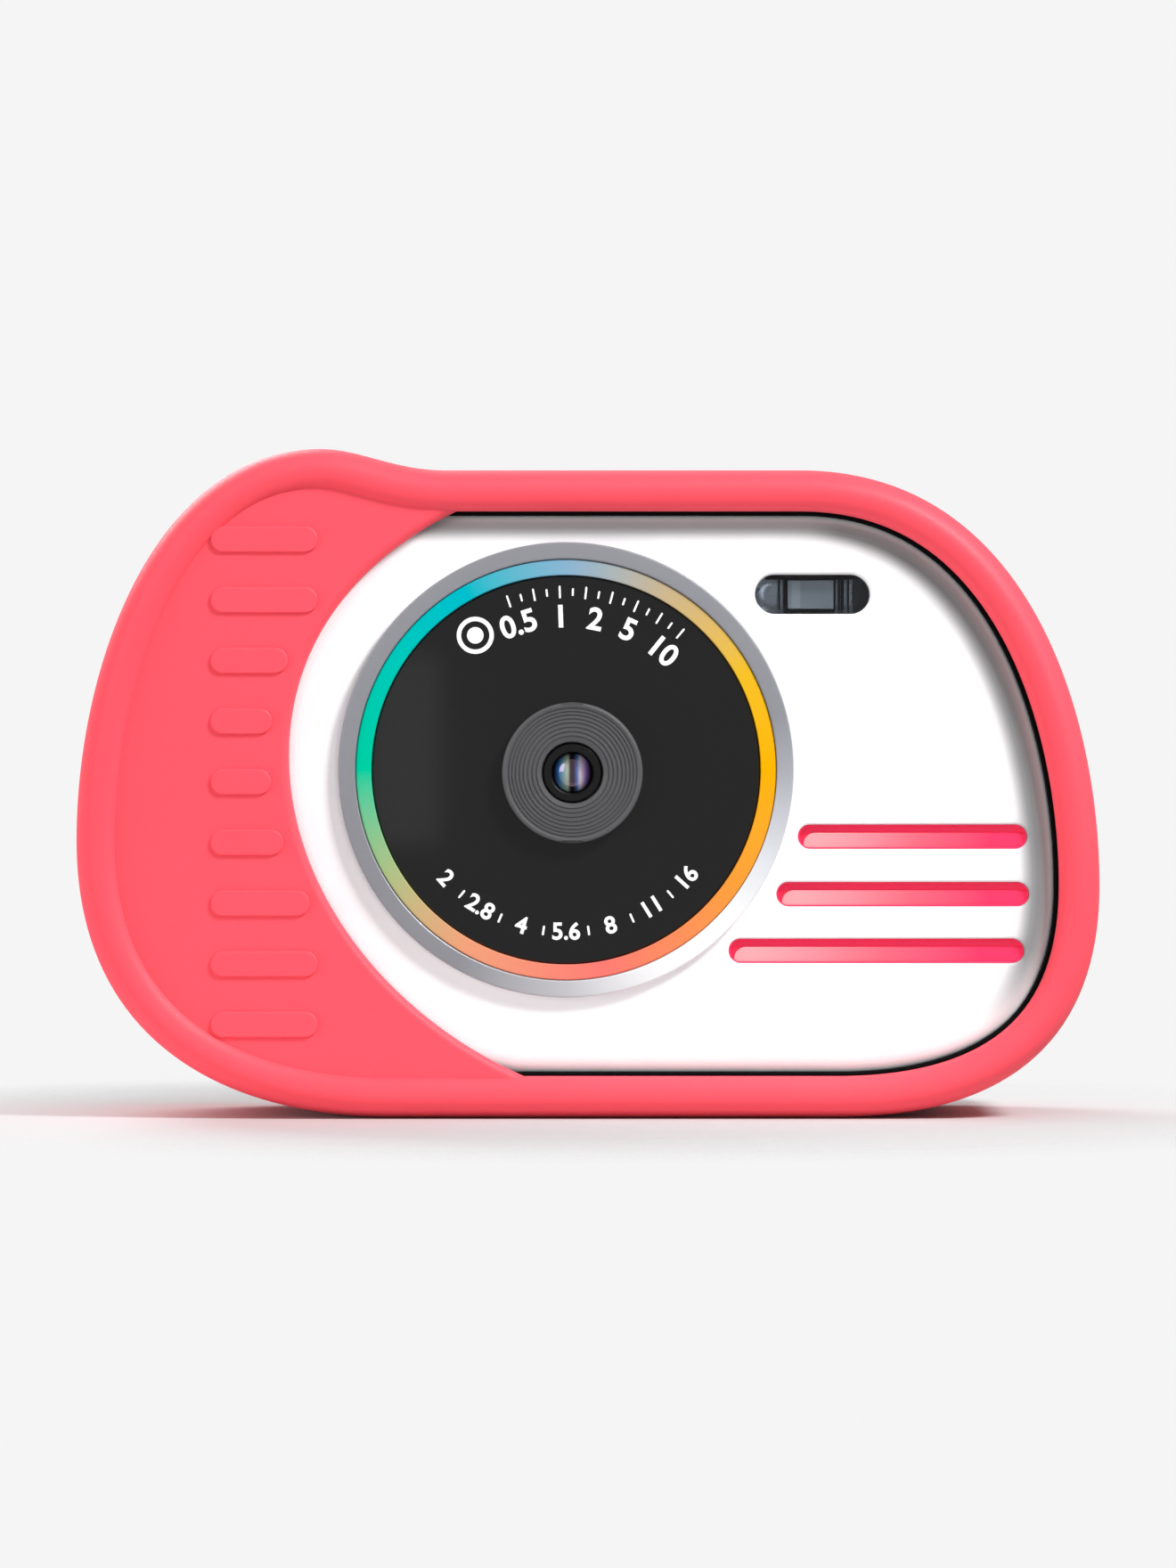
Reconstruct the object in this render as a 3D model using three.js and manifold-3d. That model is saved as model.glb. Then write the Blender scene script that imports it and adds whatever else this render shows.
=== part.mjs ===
// A child's digital camera in a silicone sleeve, as an assembly of separate parts.
// Millimetres. The lens looks along -Y, +X is to the right seen from the front, +Z is up.
// The origin is the middle of the base, at half of the depth.
import * as THREE from "three";
import { mergeVertices } from "three/addons/utils/BufferGeometryUtils.js";
import Module from "manifold-3d";

const wasm = await Module();
wasm.setup();

// ---------------------------------------------------------------- driving dimensions
const HALF_DEPTH = 15; // the sleeve's front and back rims
const GAP = 0.3; // clearance between pieces that meet
const WALL = 1.8; // moulded covers
const SLEEVE_WALL = 2.4; // silicone over the covers' edge
const LIP = 4.2; // how far the sleeve's rim reaches over the face
const BODY_INSET = SLEEVE_WALL + GAP; // outside of the covers, in from the silhouette
const INNER_INSET = BODY_INSET + WALL; // inside of the covers
const PLATE_INSET = 4.7; // edge of the raised white plate

const FACE_Y = -12.6; // front of the white plate
const FACE_INNER_Y = FACE_Y + WALL;
const SHOULDER_Y = -11.4; // step around the plate, which holds the seal
const FLAP_Y = -14.1; // front of the grip flap
const FLAP_BACK_Y = FACE_Y - GAP;
const BACK_Y = 12.6; // rear cover's face
const BACK_INNER_Y = BACK_Y - WALL;
const PARTING = 0.8; // each cover stops this far from y = 0, with the gasket between

const RING_CENTRE = { x: -2.25, z: 35.65 };
const RING_RADIUS = 23.3;
const COLOUR_RADIUS = 21.5;
const WINDOW_RADIUS = 19.9;
const LENS = { x: -1.6, z: 35.35 };
const BEZEL_RADIUS = 7.2;
const BEZEL_BORE = 3.1;

const FLASH = { x: 23, z: 53.65, length: 11.8, height: 4.05 };
const SLOT_HEIGHT = 2.5;
const SLOTS = [
  { left: 21.5, right: 45.0, z: 28.8 },
  { left: 19.3, right: 45.2, z: 22.9 },
  { left: 14.4, right: 44.7, z: 17.1 },
];

const SHUTTER = { x: -28, y: 0, radius: 5.6 };
const POWER = { x: 10, y: 5, radius: 2.8 };

const SCREEN = { x: 14.5, z: 34, width: 48, height: 38 };
const PAD = { x: -29, z: 29, pitch: 8.6 };
const KEYS = [
  { name: "ok_button", x: PAD.x, z: PAD.z, radius: 4 },
  { name: "up_button", x: PAD.x, z: PAD.z + PAD.pitch, radius: 3.1 },
  { name: "down_button", x: PAD.x, z: PAD.z - PAD.pitch, radius: 3.1 },
  { name: "left_button", x: PAD.x + PAD.pitch, z: PAD.z, radius: 3.1 },
  { name: "right_button", x: PAD.x - PAD.pitch, z: PAD.z, radius: 3.1 },
  { name: "menu_button", x: -22, z: 50.5, radius: 3.1 },
  { name: "playback_button", x: -34, z: 50.5, radius: 3.1 },
];
const KEY_TOP_Y = 13.4;
const SPEAKER = { x: -27, z: 10.9 };

const DOOR = { low: 12.6, high: 38.4, front: 1.2, back: 8.5 }; // z and y limits
const HINGE = { x: 50, y: 9.9, pin: 0.5, knuckle: 1.1 };
const STRAP = { z: 28.4, y: 5.9, x: -48.2, pin: 0.9 };

const BOARD = { front: 2, back: 3.2 };
const SCREWS = [
  { x: -40.5, z: 13.5 },
  { x: 40, z: 10.5 },
  { x: 34, z: 56.4 },
  { x: -41, z: 51.5 },
];

// ---------------------------------------------------------------- colours and finishes
const finish = (colour, roughness, metalness = 0) =>
  new THREE.MeshStandardMaterial({ color: colour, roughness, metalness });
const CORAL = finish(0xff5f6e, 0.6);
const WHITE = finish(0xf6f4f8, 0.35);
const BLACK_RUBBER = finish(0x101010, 0.7);
const SILVER = finish(0x9a9ba2, 0.4, 0.8);
const RAINBOW = finish(0x59b8c0, 0.35);
const BLACK_GLOSS = finish(0x222222, 0.1);
const GREY_PLASTIC = finish(0x55555a, 0.5);
const BLACK_METAL = finish(0x0c0c0c, 0.4, 0.3);
const GLASS = finish(0x8fa8c8, 0.05);
const RED = finish(0xff3a66, 0.35);
const SMOKE = finish(0x5c6166, 0.3);
const STEEL = finish(0xc2c4c8, 0.3, 1);
const BOARD_GREEN = finish(0x14603a, 0.5);
const CHIP = finish(0x1a1a1c, 0.5);
const FOIL = finish(0xb8bcc2, 0.35, 0.6);
const FOAM = finish(0x2a2a2c, 0.95);
const AMBER = finish(0xd8c06a, 0.4);

// ---------------------------------------------------------------- outline of the camera
const v2 = (x, z) => new THREE.Vector2(x, z);

// The silhouette seen from the front, anticlockwise from the left end of the flat base.
// Every corner is one cubic that leaves and arrives along X or Z.
function silhouette() {
  const path = new THREE.Path();
  path.moveTo(-20, 0);
  path.lineTo(25.6, 0);
  path.bezierCurveTo(42.3, 0, 52.5, 7.2, 52.5, 23.8);
  path.bezierCurveTo(52.5, 40.8, 45.5, 66.4, 21.8, 66.4);
  path.lineTo(-14.7, 66.4);
  path.bezierCurveTo(-19.9, 66.4, -23.5, 68.6, -27.4, 68.6); // foot of the finger hump
  path.bezierCurveTo(-44.6, 68.6, -52.5, 46.2, -52.5, 28.4);
  path.bezierCurveTo(-52.5, 8.3, -38, 0, -20, 0);
  return path;
}

// The silhouette as points, moved inwards by inset. Curved stretches get more points than straight ones.
const CURVE_STEPS = 9;
function outline(inset = 0) {
  const points = silhouette().getPoints(CURVE_STEPS);
  points.pop();
  return points.map((p, i) => {
    const before = points[(i + points.length - 1) % points.length];
    const after = points[(i + 1) % points.length];
    const a = p.clone().sub(before).normalize();
    const b = after.clone().sub(p).normalize();
    const along = a.clone().add(b).normalize();
    const stretch = 1 / Math.max(0.5, along.dot(a)); // keeps the wall even round a corner
    return v2(p.x - along.y * inset * stretch, p.y + along.x * inset * stretch);
  });
}

// ---------------------------------------------------------------- solids
// A closed geometry as a manifold-3d solid.
function solid(geometry) {
  const bare = geometry.index ? geometry.toNonIndexed() : geometry.clone();
  for (const key of Object.keys(bare.attributes)) {
    if (key !== "position") bare.deleteAttribute(key);
  }
  const merged = mergeVertices(bare, 1e-4);
  return new wasm.Manifold(
    new wasm.Mesh({
      numProp: 3,
      vertProperties: merged.attributes.position.array,
      triVerts: new Uint32Array(merged.index.array),
    }),
  );
}

function geometryOf(manifold) {
  const made = manifold.getMesh();
  return new THREE.BufferGeometry()
    .setAttribute("position", new THREE.BufferAttribute(made.vertProperties.slice(), 3))
    .setIndex(new THREE.BufferAttribute(made.triVerts.slice(), 1));
}

// An outline in X and Z, drawn out along Y from front to back. edge rounds both rims inwards.
function prism(points, front, back, edge = null) {
  const shape = new THREE.Shape(points);
  const rim = edge ?? { deep: 0, wide: 0, steps: 0 };
  const geometry = new THREE.ExtrudeGeometry(shape, {
    depth: back - front - 2 * rim.deep,
    curveSegments: 1,
    steps: 1,
    bevelEnabled: rim.deep > 0,
    bevelThickness: rim.deep,
    bevelSize: rim.wide,
    bevelOffset: -rim.wide,
    bevelSegments: rim.steps,
  });
  geometry.rotateX(Math.PI / 2);
  geometry.translate(0, back - rim.deep, 0);
  return solid(geometry);
}

function box(x0, x1, y0, y1, z0, z1) {
  const geometry = new THREE.BoxGeometry(x1 - x0, y1 - y0, z1 - z0);
  geometry.translate((x0 + x1) / 2, (y0 + y1) / 2, (z0 + z1) / 2);
  return solid(geometry);
}

// A box with rounded corners seen from the front.
function tablet(x0, x1, y0, y1, z0, z1, corner = 1.5) {
  const path = new THREE.Path();
  path.absarc(x1 - corner, z0 + corner, corner, -Math.PI / 2, 0);
  path.absarc(x1 - corner, z1 - corner, corner, 0, Math.PI / 2);
  path.absarc(x0 + corner, z1 - corner, corner, Math.PI / 2, Math.PI);
  path.absarc(x0 + corner, z0 + corner, corner, Math.PI, 1.5 * Math.PI);
  return prism(path.getPoints(3), y0, y1);
}

// A slot's outline, with round ends, in X and Z.
function pill(x, z, length, height, front, back, steps = 8) {
  const half = length / 2 - height / 2;
  const path = new THREE.Path();
  path.absarc(x + half, z, height / 2, -Math.PI / 2, Math.PI / 2);
  path.absarc(x - half, z, height / 2, Math.PI / 2, 1.5 * Math.PI);
  return prism(path.getPoints(steps), front, back);
}

// A turned piece. profile is pairs of radius and y, the axis runs along Y through (x, z).
function turned(profile, centre, segments = 32) {
  const points = profile.map(([radius, y]) => v2(radius, y));
  const geometry = new THREE.LatheGeometry(points, segments);
  geometry.translate(centre.x, 0, centre.z);
  const made = solid(geometry);
  return made.volume() < 0 ? solid(reversed(geometry)) : made;
}

function reversed(geometry) {
  const index = geometry.index.array;
  for (let i = 0; i < index.length; i += 3) {
    [index[i + 1], index[i + 2]] = [index[i + 2], index[i + 1]];
  }
  return geometry;
}

const disc = (radius, front, back, centre, segments) =>
  turned([[0, front], [radius, front], [radius, back], [0, back]], centre, segments);
const ring = (outer, inner, front, back, centre, segments) =>
  turned(
    [[inner, front], [outer, front], [outer, back], [inner, back], [inner, front]],
    centre,
    segments,
  );

// A round bar along Z.
function post(radius, x, y, z0, z1, segments = 20) {
  const geometry = new THREE.CylinderGeometry(radius, radius, z1 - z0, segments);
  geometry.rotateX(Math.PI / 2);
  geometry.translate(x, y, (z0 + z1) / 2);
  return solid(geometry);
}

// A round wire along a smooth curve through the points.
function wire(points, radius) {
  const curve = new THREE.CatmullRomCurve3(points.map((p) => new THREE.Vector3(...p)));
  const section = new THREE.Shape();
  section.absarc(0, 0, radius, 0, 2 * Math.PI);
  return solid(
    new THREE.ExtrudeGeometry(section, {
      steps: 10,
      curveSegments: 3,
      bevelEnabled: false,
      extrudePath: curve,
    }),
  );
}

const joined = (...solids) => solids.reduce((a, b) => a.add(b));
const cut = (base, ...tools) => tools.reduce((a, b) => a.subtract(b), base);

// ---------------------------------------------------------------- the group
const camera = new THREE.Group();
function add(name, material, manifold) {
  const mesh = new THREE.Mesh(geometryOf(manifold), material);
  mesh.name = name;
  camera.add(mesh);
}

// ---------------------------------------------------------------- shared cutters
const topHole = (at, segments) => post(at.radius + GAP, at.x, at.y, 55, 75, segments);
const shutterHole = topHole(SHUTTER, 24);
const powerHole = topHole(POWER, 16);
const screwHole = (s, radius, front, back) => disc(radius, front, back, s, 10);

// The part of the face that the grip flap leaves open, to the right of its curved edge.
function openFace(front, back) {
  const path = new THREE.Path();
  path.moveTo(-5.5, 3.84);
  path.lineTo(60, -5);
  path.lineTo(60, 75);
  path.lineTo(-13.05, 75);
  path.lineTo(-13.05, 62.3);
  path.bezierCurveTo(-22.9, 57.65, -30.6, 49.3, -30.6, 37.05);
  path.bezierCurveTo(-30.6, 23.3, -20.4, 10, -5.5, 3.84);
  const points = path.getPoints(14);
  points.pop();
  return prism(points, front, back);
}

// ---------------------------------------------------------------- silicone sleeve
function sleeve() {
  const rim = { deep: 3.6, wide: 2.2, steps: 3 };
  const outside = prism(outline(), -HALF_DEPTH, HALF_DEPTH, rim);
  const cavity = prism(outline(SLEEVE_WALL), FLAP_BACK_Y, BACK_Y + GAP);
  const panel = prism(outline(LIP), -HALF_DEPTH - 1, FLAP_Y);
  const window = prism(outline(LIP), -HALF_DEPTH, FLAP_BACK_Y + 0.5).intersect(openFace(-HALF_DEPTH, 0));
  const back = prism(outline(LIP), BACK_Y, HALF_DEPTH + 1);
  const door = box(46, 60, 0.5, 11.9, DOOR.low - 0.7, DOOR.high + 0.7);
  const strap = box(-60, -46, 1.6, 10.2, STRAP.z - 6.2, STRAP.z + 6.2);
  return cut(
    outside,
    cavity,
    panel,
    window,
    back,
    door,
    strap,
    shutterHole,
    powerHole,
  );
}
add("silicone_sleeve", CORAL, sleeve());

// ---------------------------------------------------------------- covers
function frontCover() {
  const tray = prism(outline(BODY_INSET), SHOULDER_Y, -PARTING);
  const plate = prism(outline(PLATE_INSET), FACE_Y, FACE_Y + 3, { deep: 0.6, wide: 1.2, steps: 2 });
  const inside = prism(outline(INNER_INSET), FACE_INNER_Y, 1);
  const bosses = SCREWS.map((s) => disc(2.6, FACE_INNER_Y - 0.1, -PARTING, s, 12).intersect(tray));
  return cut(
    joined(cut(joined(tray, plate), inside), ...bosses),
    ...SCREWS.map((s) => screwHole(s, 1.3, -9, 1)),
    disc(RING_RADIUS - 0.7, -20, -9, RING_CENTRE, 40),
    pill(FLASH.x, FLASH.z, FLASH.length, FLASH.height, -20, -9, 6),
    ...SLOTS.map((s) => slotCutter(s, 0, -20, -9)),
    shutterHole,
  );
}

function slotCutter(slot, inset, front, back) {
  const length = slot.right - slot.left - 2 * inset;
  return pill((slot.left + slot.right) / 2, slot.z, length, SLOT_HEIGHT - 2 * inset, front, back, 5);
}
add("front_cover", WHITE, frontCover());

function rearCover() {
  const outside = prism(outline(BODY_INSET), PARTING, BACK_Y);
  const inside = prism(outline(INNER_INSET), 0, BACK_INNER_Y);
  const doorBlock = box(44.6, 48.6, PARTING, 11.4, DOOR.low - 2, DOOR.high + 2);
  const strapBlock = box(-49, -42.7, PARTING, 11.4, STRAP.z - 8, STRAP.z + 8);
  const bosses = SCREWS.map((s) => disc(2.9, PARTING, BACK_INNER_Y + 0.1, s, 12));
  const lugs = [18.3, 32.7].map((z) => hingeLug(z));
  const inner = joined(doorBlock, strapBlock, ...bosses).intersect(outside);
  const shell = cut(
    joined(cut(outside, inside), inner),
    box(46.6, 60, 0, 12, DOOR.low - GAP, DOOR.high + GAP),
    box(44, 60, 2.6, 7.2, 14.3, 36.5),
    box(-60, -44.6, 2.2, 9.6, STRAP.z - 5, STRAP.z + 5),
  );
  return cut(
    joined(shell, ...lugs),
    post(HINGE.pin + GAP, HINGE.x, HINGE.y, 10, 40, 14),
    post(STRAP.pin + GAP, STRAP.x, STRAP.y, STRAP.z - 7, STRAP.z + 7, 14),
    tablet(...screenSpan(0.3), 11.6, 20, ...screenRise(0.3), 4),
    tablet(...screenSpan(-3.5), 0, 20, ...screenRise(-3.5), 2),
    ...KEYS.map((k) => disc(k.radius + GAP, 8, 20, k, 20)),
    ...SCREWS.map((s) => screwHole(s, 1.3, 0, 20)),
    ...SCREWS.map((s) => screwHole(s, 2.3, 10.6, 20)),
    ...speakerHoles(),
    shutterHole,
    powerHole,
  );
}

const screenSpan = (grow) => [
  SCREEN.x - SCREEN.width / 2 - grow,
  SCREEN.x + SCREEN.width / 2 + grow,
];
const screenRise = (grow) => [
  SCREEN.z - SCREEN.height / 2 - grow,
  SCREEN.z + SCREEN.height / 2 + grow,
];

function hingeLug(z) {
  const eye = post(HINGE.knuckle, HINGE.x, HINGE.y, z - 1.2, z + 1.2, 14);
  const neck = box(46, HINGE.x, HINGE.y - 0.7, HINGE.y + 1.1, z - 1.2, z + 1.2);
  return joined(eye, neck);
}

function speakerHoles() {
  return [-3.6, -1.8, 0, 1.8, 3.6].map((dx) => disc(0.6, 8, 20, { x: SPEAKER.x + dx, z: SPEAKER.z }, 8));
}
add("rear_cover", WHITE, rearCover());

// ---------------------------------------------------------------- seals between the shells
function bandRing(outerInset, innerInset, front, back) {
  return cut(prism(outline(outerInset), front, back), prism(outline(innerInset), front - 1, back + 1));
}
add("face_seal", BLACK_RUBBER, bandRing(BODY_INSET, PLATE_INSET - 0.2, FACE_Y, SHOULDER_Y - GAP));
add(
  "body_gasket",
  BLACK_RUBBER,
  cut(
    bandRing(BODY_INSET + 0.2, INNER_INSET - 0.2, -PARTING + GAP, PARTING - GAP),
    shutterHole,
  ),
);

// ---------------------------------------------------------------- lens surround
add(
  "lens_ring",
  SILVER,
  turned(
    [
      [COLOUR_RADIUS + 0.1, -13.6],
      [COLOUR_RADIUS + 0.5, -13.9],
      [RING_RADIUS - 0.4, -13.9],
      [RING_RADIUS, -13.5],
      [RING_RADIUS, FACE_Y - GAP],
      [RING_RADIUS - 1, FACE_Y - GAP],
      [RING_RADIUS - 1, -10],
      [COLOUR_RADIUS + 0.1, -10],
      [COLOUR_RADIUS + 0.1, -13.6],
    ],
    RING_CENTRE,
    48,
  ),
);
add(
  "color_ring",
  RAINBOW,
  ring(COLOUR_RADIUS - 0.2, WINDOW_RADIUS + 0.15, -13.6, -11.6, RING_CENTRE, 48),
);
add(
  "lens_window",
  BLACK_GLOSS,
  cut(disc(WINDOW_RADIUS - 0.15, -13.4, -12.2, RING_CENTRE, 48), disc(5.2, -20, 0, LENS, 20)),
);
add(
  "window_carrier",
  GREY_PLASTIC,
  cut(disc(COLOUR_RADIUS - 0.3, -11.3, -10, RING_CENTRE, 36), disc(5.2, -20, 0, LENS, 20)),
);

// Two moulding notches in the rim, at the top and the bottom.
const bezelNotch = (side) => {
  const z = LENS.z + side * BEZEL_RADIUS;
  return box(LENS.x - 1, LENS.x + 1, -20, -13.7, z - 0.25, z + 0.25);
};
add(
  "lens_bezel",
  GREY_PLASTIC,
  cut(
    turned(
      [
        [BEZEL_BORE, -14.5],
        [BEZEL_RADIUS - 0.3, -14.7],
        [BEZEL_RADIUS, -14.5],
        [BEZEL_RADIUS, -13.7],
        [4.9, -13.7],
        [4.9, -10],
        [BEZEL_BORE, -10],
        [BEZEL_BORE, -14.5],
      ],
      LENS,
      36,
    ),
    bezelNotch(1),
    bezelNotch(-1),
  ),
);

// ---------------------------------------------------------------- lens and sensor
add(
  "lens_barrel",
  BLACK_METAL,
  turned(
    [
      [2.2, -14.2],
      [2.8, -14.2],
      [2.8, -5.6],
      [1.6, -5.6],
      [1.6, -12.2],
      [2.2, -12.2],
      [2.2, -14.2],
    ],
    LENS,
    20,
  ),
);
add(
  "front_lens",
  GLASS,
  turned([[0, -13.7], [1.0, -13.55], [1.9, -13.1], [1.9, -12.5], [0, -12.5]], LENS, 20),
);
add("middle_lens", GLASS, turned([[0, -11.4], [1.3, -11.1], [1.3, -10.5], [0, -10.8]], LENS, 20));
add("rear_lens", GLASS, turned([[0, -8.6], [1.3, -8.3], [1.3, -7.6], [0, -7.3]], LENS, 20));
const holderHalf = 4.3;
add(
  "lens_holder",
  GREY_PLASTIC,
  cut(
    box(
      LENS.x - holderHalf,
      LENS.x + holderHalf,
      -9.4,
      -4.3,
      LENS.z - holderHalf,
      LENS.z + holderHalf,
    ),
    disc(3.1, -12, -5.3, LENS, 24),
    box(LENS.x - 3, LENS.x + 3, -6, 0, LENS.z - 3, LENS.z + 3),
  ),
);
add("infrared_filter", RED, box(LENS.x - 2.6, LENS.x + 2.6, -5.5, -5.1, LENS.z - 2.6, LENS.z + 2.6));
add("image_sensor", CHIP, box(LENS.x - 2.5, LENS.x + 2.5, -4.8, -4.2, LENS.z - 2.2, LENS.z + 2.2));
add("camera_board", BOARD_GREEN, tablet(LENS.x - 5, LENS.x + 5, -3.9, -3.1, LENS.z - 5, LENS.z + 5, 0.8));

// A flat ribbon from the camera board, folded back to the main board.
function ribbon(x0, x1, path) {
  const shape = new THREE.Shape(path.map(([y, z]) => v2(y, z)));
  const geometry = new THREE.ExtrudeGeometry(shape, { depth: x1 - x0, bevelEnabled: false });
  geometry.rotateX(Math.PI / 2);
  geometry.rotateZ(Math.PI / 2);
  geometry.translate(x0, 0, 0);
  return solid(geometry);
}
add(
  "camera_ribbon",
  AMBER,
  ribbon(LENS.x - 3, LENS.x + 3, [
    [-2.8, 31],
    [-2.5, 31],
    [-2.5, 43],
    [1.2, 47],
    [1.7, 47],
    [1.7, 51],
    [1.4, 51],
    [1.4, 47.4],
    [1.0, 47.3],
    [-2.8, 43.2],
  ]),
);

// ---------------------------------------------------------------- flash
add(
  "flash_window",
  SMOKE,
  pill(FLASH.x, FLASH.z, FLASH.length - 0.6, FLASH.height - 0.6, -12.1, -11.1, 6),
);
const flashWell = pill(FLASH.x, FLASH.z, FLASH.length - 0.4, FLASH.height - 0.3, -12, -8.6, 6);
add(
  "flash_reflector",
  SMOKE,
  cut(pill(FLASH.x, FLASH.z, FLASH.length + 2, FLASH.height + 2, -10.4, -7.8, 6), flashWell),
);
add("flash_led", AMBER, tablet(FLASH.x - 2.25, FLASH.x + 2.25, -10.6, -8.9, FLASH.z - 1.5, FLASH.z + 1.5, 0.3));
add("flash_board", BOARD_GREEN, tablet(FLASH.x - 6.5, FLASH.x + 6.5, -7.5, -6.7, FLASH.z - 3.5, FLASH.z + 3.5, 1));

// ---------------------------------------------------------------- slot insert
add(
  "slot_insert",
  RED,
  cut(
    joined(
      tablet(12.8, 45.8, -10.5, -9.5, 14.6, 31.4, 2),
      ...SLOTS.map((s) => slotCutter(s, GAP, -11.5, -10)),
    ),
    disc(RING_RADIUS - 0.6, -12, -9, RING_CENTRE, 40),
  ),
);

// ---------------------------------------------------------------- buttons on the top edge
// The button's head follows the hump, just below the sleeve's surface.
function topButton(at, stemLow, flangeTop) {
  const head = post(at.radius, at.x, at.y, flangeTop - 0.5, 75, 24).intersect(prism(outline(0.35), -10, 10));
  const flange = post(at.radius + 1, at.x, at.y, flangeTop - 1, flangeTop, 20);
  const stem = post(1.5, at.x, at.y, stemLow, flangeTop - 0.5, 12);
  return joined(head, flange, stem);
}
add("shutter_button", GREY_PLASTIC, topButton(SHUTTER, 60.4, 62));
add("power_button", GREY_PLASTIC, topButton(POWER, 58.8, 61.5));

// A tact switch on its side, with its plunger up.
function tactSwitch(at, top) {
  const can = box(at.x - 3, at.x + 3, at.y - 1.4, at.y + 1.7, top - 4.5, top - 0.8);
  return joined(can, post(1.2, at.x, at.y, top - 1.5, top, 12));
}
add("shutter_switch", CHIP, tactSwitch(SHUTTER, 59.2));
add("power_switch", CHIP, tactSwitch(POWER, 57.8));

// ---------------------------------------------------------------- screen
add("screen_window", BLACK_GLOSS, tablet(...screenSpan(0), 11.9, 12.8, ...screenRise(0), 4));
add("screen_panel", CHIP, tablet(...screenSpan(-4), 9.3, 11.3, ...screenRise(-4), 0.6));
add(
  "screen_frame",
  STEEL,
  cut(
    tablet(...screenSpan(-2.8), 7.6, 10.4, ...screenRise(-2.8), 1),
    tablet(...screenSpan(-3.7), 9, 20, ...screenRise(-3.7), 0.6),
  ),
);

// ---------------------------------------------------------------- keys
for (const key of KEYS) {
  add(
    key.name,
    GREY_PLASTIC,
    turned(
      [
        [0, KEY_TOP_Y],
        [key.radius - 0.6, KEY_TOP_Y],
        [key.radius, KEY_TOP_Y - 0.5],
        [key.radius, 10.5],
        [key.radius + 0.6, 10.5],
        [key.radius + 0.6, 9.6],
        [0, 9.6],
      ],
      key,
      18,
    ),
  );
}
const keyMatDomes = KEYS.map((k) => disc(1.6, 8.2, 8.9, k, 10));
function keySheet(front, back) {
  const sheet = tablet(-41.5, -16.5, front, back, 17.2, 55, 3).intersect(prism(outline(INNER_INSET + 1), 0, 20));
  return cut(sheet, ...SCREWS.map((s) => screwHole(s, 3.3, 0, 20)));
}
add("key_mat", FOAM, joined(keySheet(7.6, 8.3), ...keyMatDomes));
add("key_board", BOARD_GREEN, keySheet(6.4, 7.3));

// ---------------------------------------------------------------- port door
function portDoor() {
  const skin = prism(outline(1.4), DOOR.front, DOOR.back);
  const plate = skin.intersect(box(47.9, 60, 0, 12, DOOR.low, DOOR.high));
  const knuckle = post(HINGE.knuckle, HINGE.x, HINGE.y, 19.9, 31.1, 14);
  const web = box(49, HINGE.x + 0.6, DOOR.back - 0.5, HINGE.y, 19.9, 31.1);
  return cut(joined(plate, knuckle, web), post(HINGE.pin + GAP, HINGE.x, HINGE.y, 10, 40, 14));
}
add("port_door", CORAL, portDoor());
add(
  "port_seal",
  BLACK_RUBBER,
  cut(box(46.9, 47.6, 1.6, 8.2, 13.3, 37.5), box(46, 48, 2.4, 7.4, 14.1, 36.7)),
);
add("hinge_pin", STEEL, post(HINGE.pin, HINGE.x, HINGE.y, 17.2, 33.8, 14));

// ---------------------------------------------------------------- main board and what it carries
function mainBoard() {
  const sheet = prism(outline(7), BOARD.front, BOARD.back).intersect(box(-38, 44.3, 0, 5, 8, 55));
  return cut(sheet, ...SCREWS.map((s) => screwHole(s, 3.3, 0, 6)));
}
add("main_board", BOARD_GREEN, mainBoard());
add("processor_chip", CHIP, box(-8, 4, 3.5, 4.7, 24, 36));
add(
  "usb_socket",
  STEEL,
  cut(box(37, 44.9, 3.5, 6.7, 14.9, 23.9), box(38.5, 50, 4, 6.2, 15.6, 23.2)),
);
add(
  "card_socket",
  STEEL,
  cut(box(30, 43.9, 3.5, 5.6, 24.3, 36.4), box(28.6, 50, 3.9, 5.2, 24.7, 36)),
);
add("memory_card", CHIP, box(29.4, 44.6, 4.2, 4.9, 25, 35.7));
add("microphone", STEEL, disc(2, -0.6, 1.7, { x: 30, z: 12 }, 16));
add("battery_socket", WHITE, box(-37, -31, -1, 1.7, 9.8, 13.8));

// ---------------------------------------------------------------- power and sound
add("battery", FOIL, tablet(-43, -11, -8.2, -2.6, 17.5, 48.3, 1.5));
add("battery_pad", FOAM, tablet(-38, -16, -2.3, 1.7, 20, 48, 2));
const leadStart = (x) => [x, -5.4, 16.7];
add("battery_lead_red", RED, wire([leadStart(-30), [-30, -5.2, 14.5], [-31.5, -4, 12.4], [-33, -1.35, 12.4]], 0.45));
add(
  "battery_lead_black",
  CHIP,
  wire([leadStart(-33), [-33, -5.2, 13.2], [-34, -4, 11.2], [-35, -1.35, 11.2]], 0.45),
);
add(
  "speaker",
  CHIP,
  turned([[0, 10.3], [4.4, 9.5], [5.4, 9.5], [5.4, 8.8], [3.8, 8], [3.8, 5.4], [0, 5.4]], SPEAKER, 20),
);

// ---------------------------------------------------------------- fasteners and strap pin
SCREWS.forEach((s, i) => {
  add(
    "housing_screw_" + (i + 1),
    STEEL,
    cut(
      turned([[0, -7], [1, -7], [1, 10.9], [2, 10.9], [2, 12], [0, 12]], s, 14),
      box(s.x - 0.35, s.x + 0.35, 11.3, 14, s.z - 1.4, s.z + 1.4),
      box(s.x - 1.4, s.x + 1.4, 11.3, 14, s.z - 0.35, s.z + 0.35),
    ),
  );
});
add("strap_bar", STEEL, post(STRAP.pin, STRAP.x, STRAP.y, STRAP.z - 6.6, STRAP.z + 6.6, 16));

export default camera;
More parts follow.
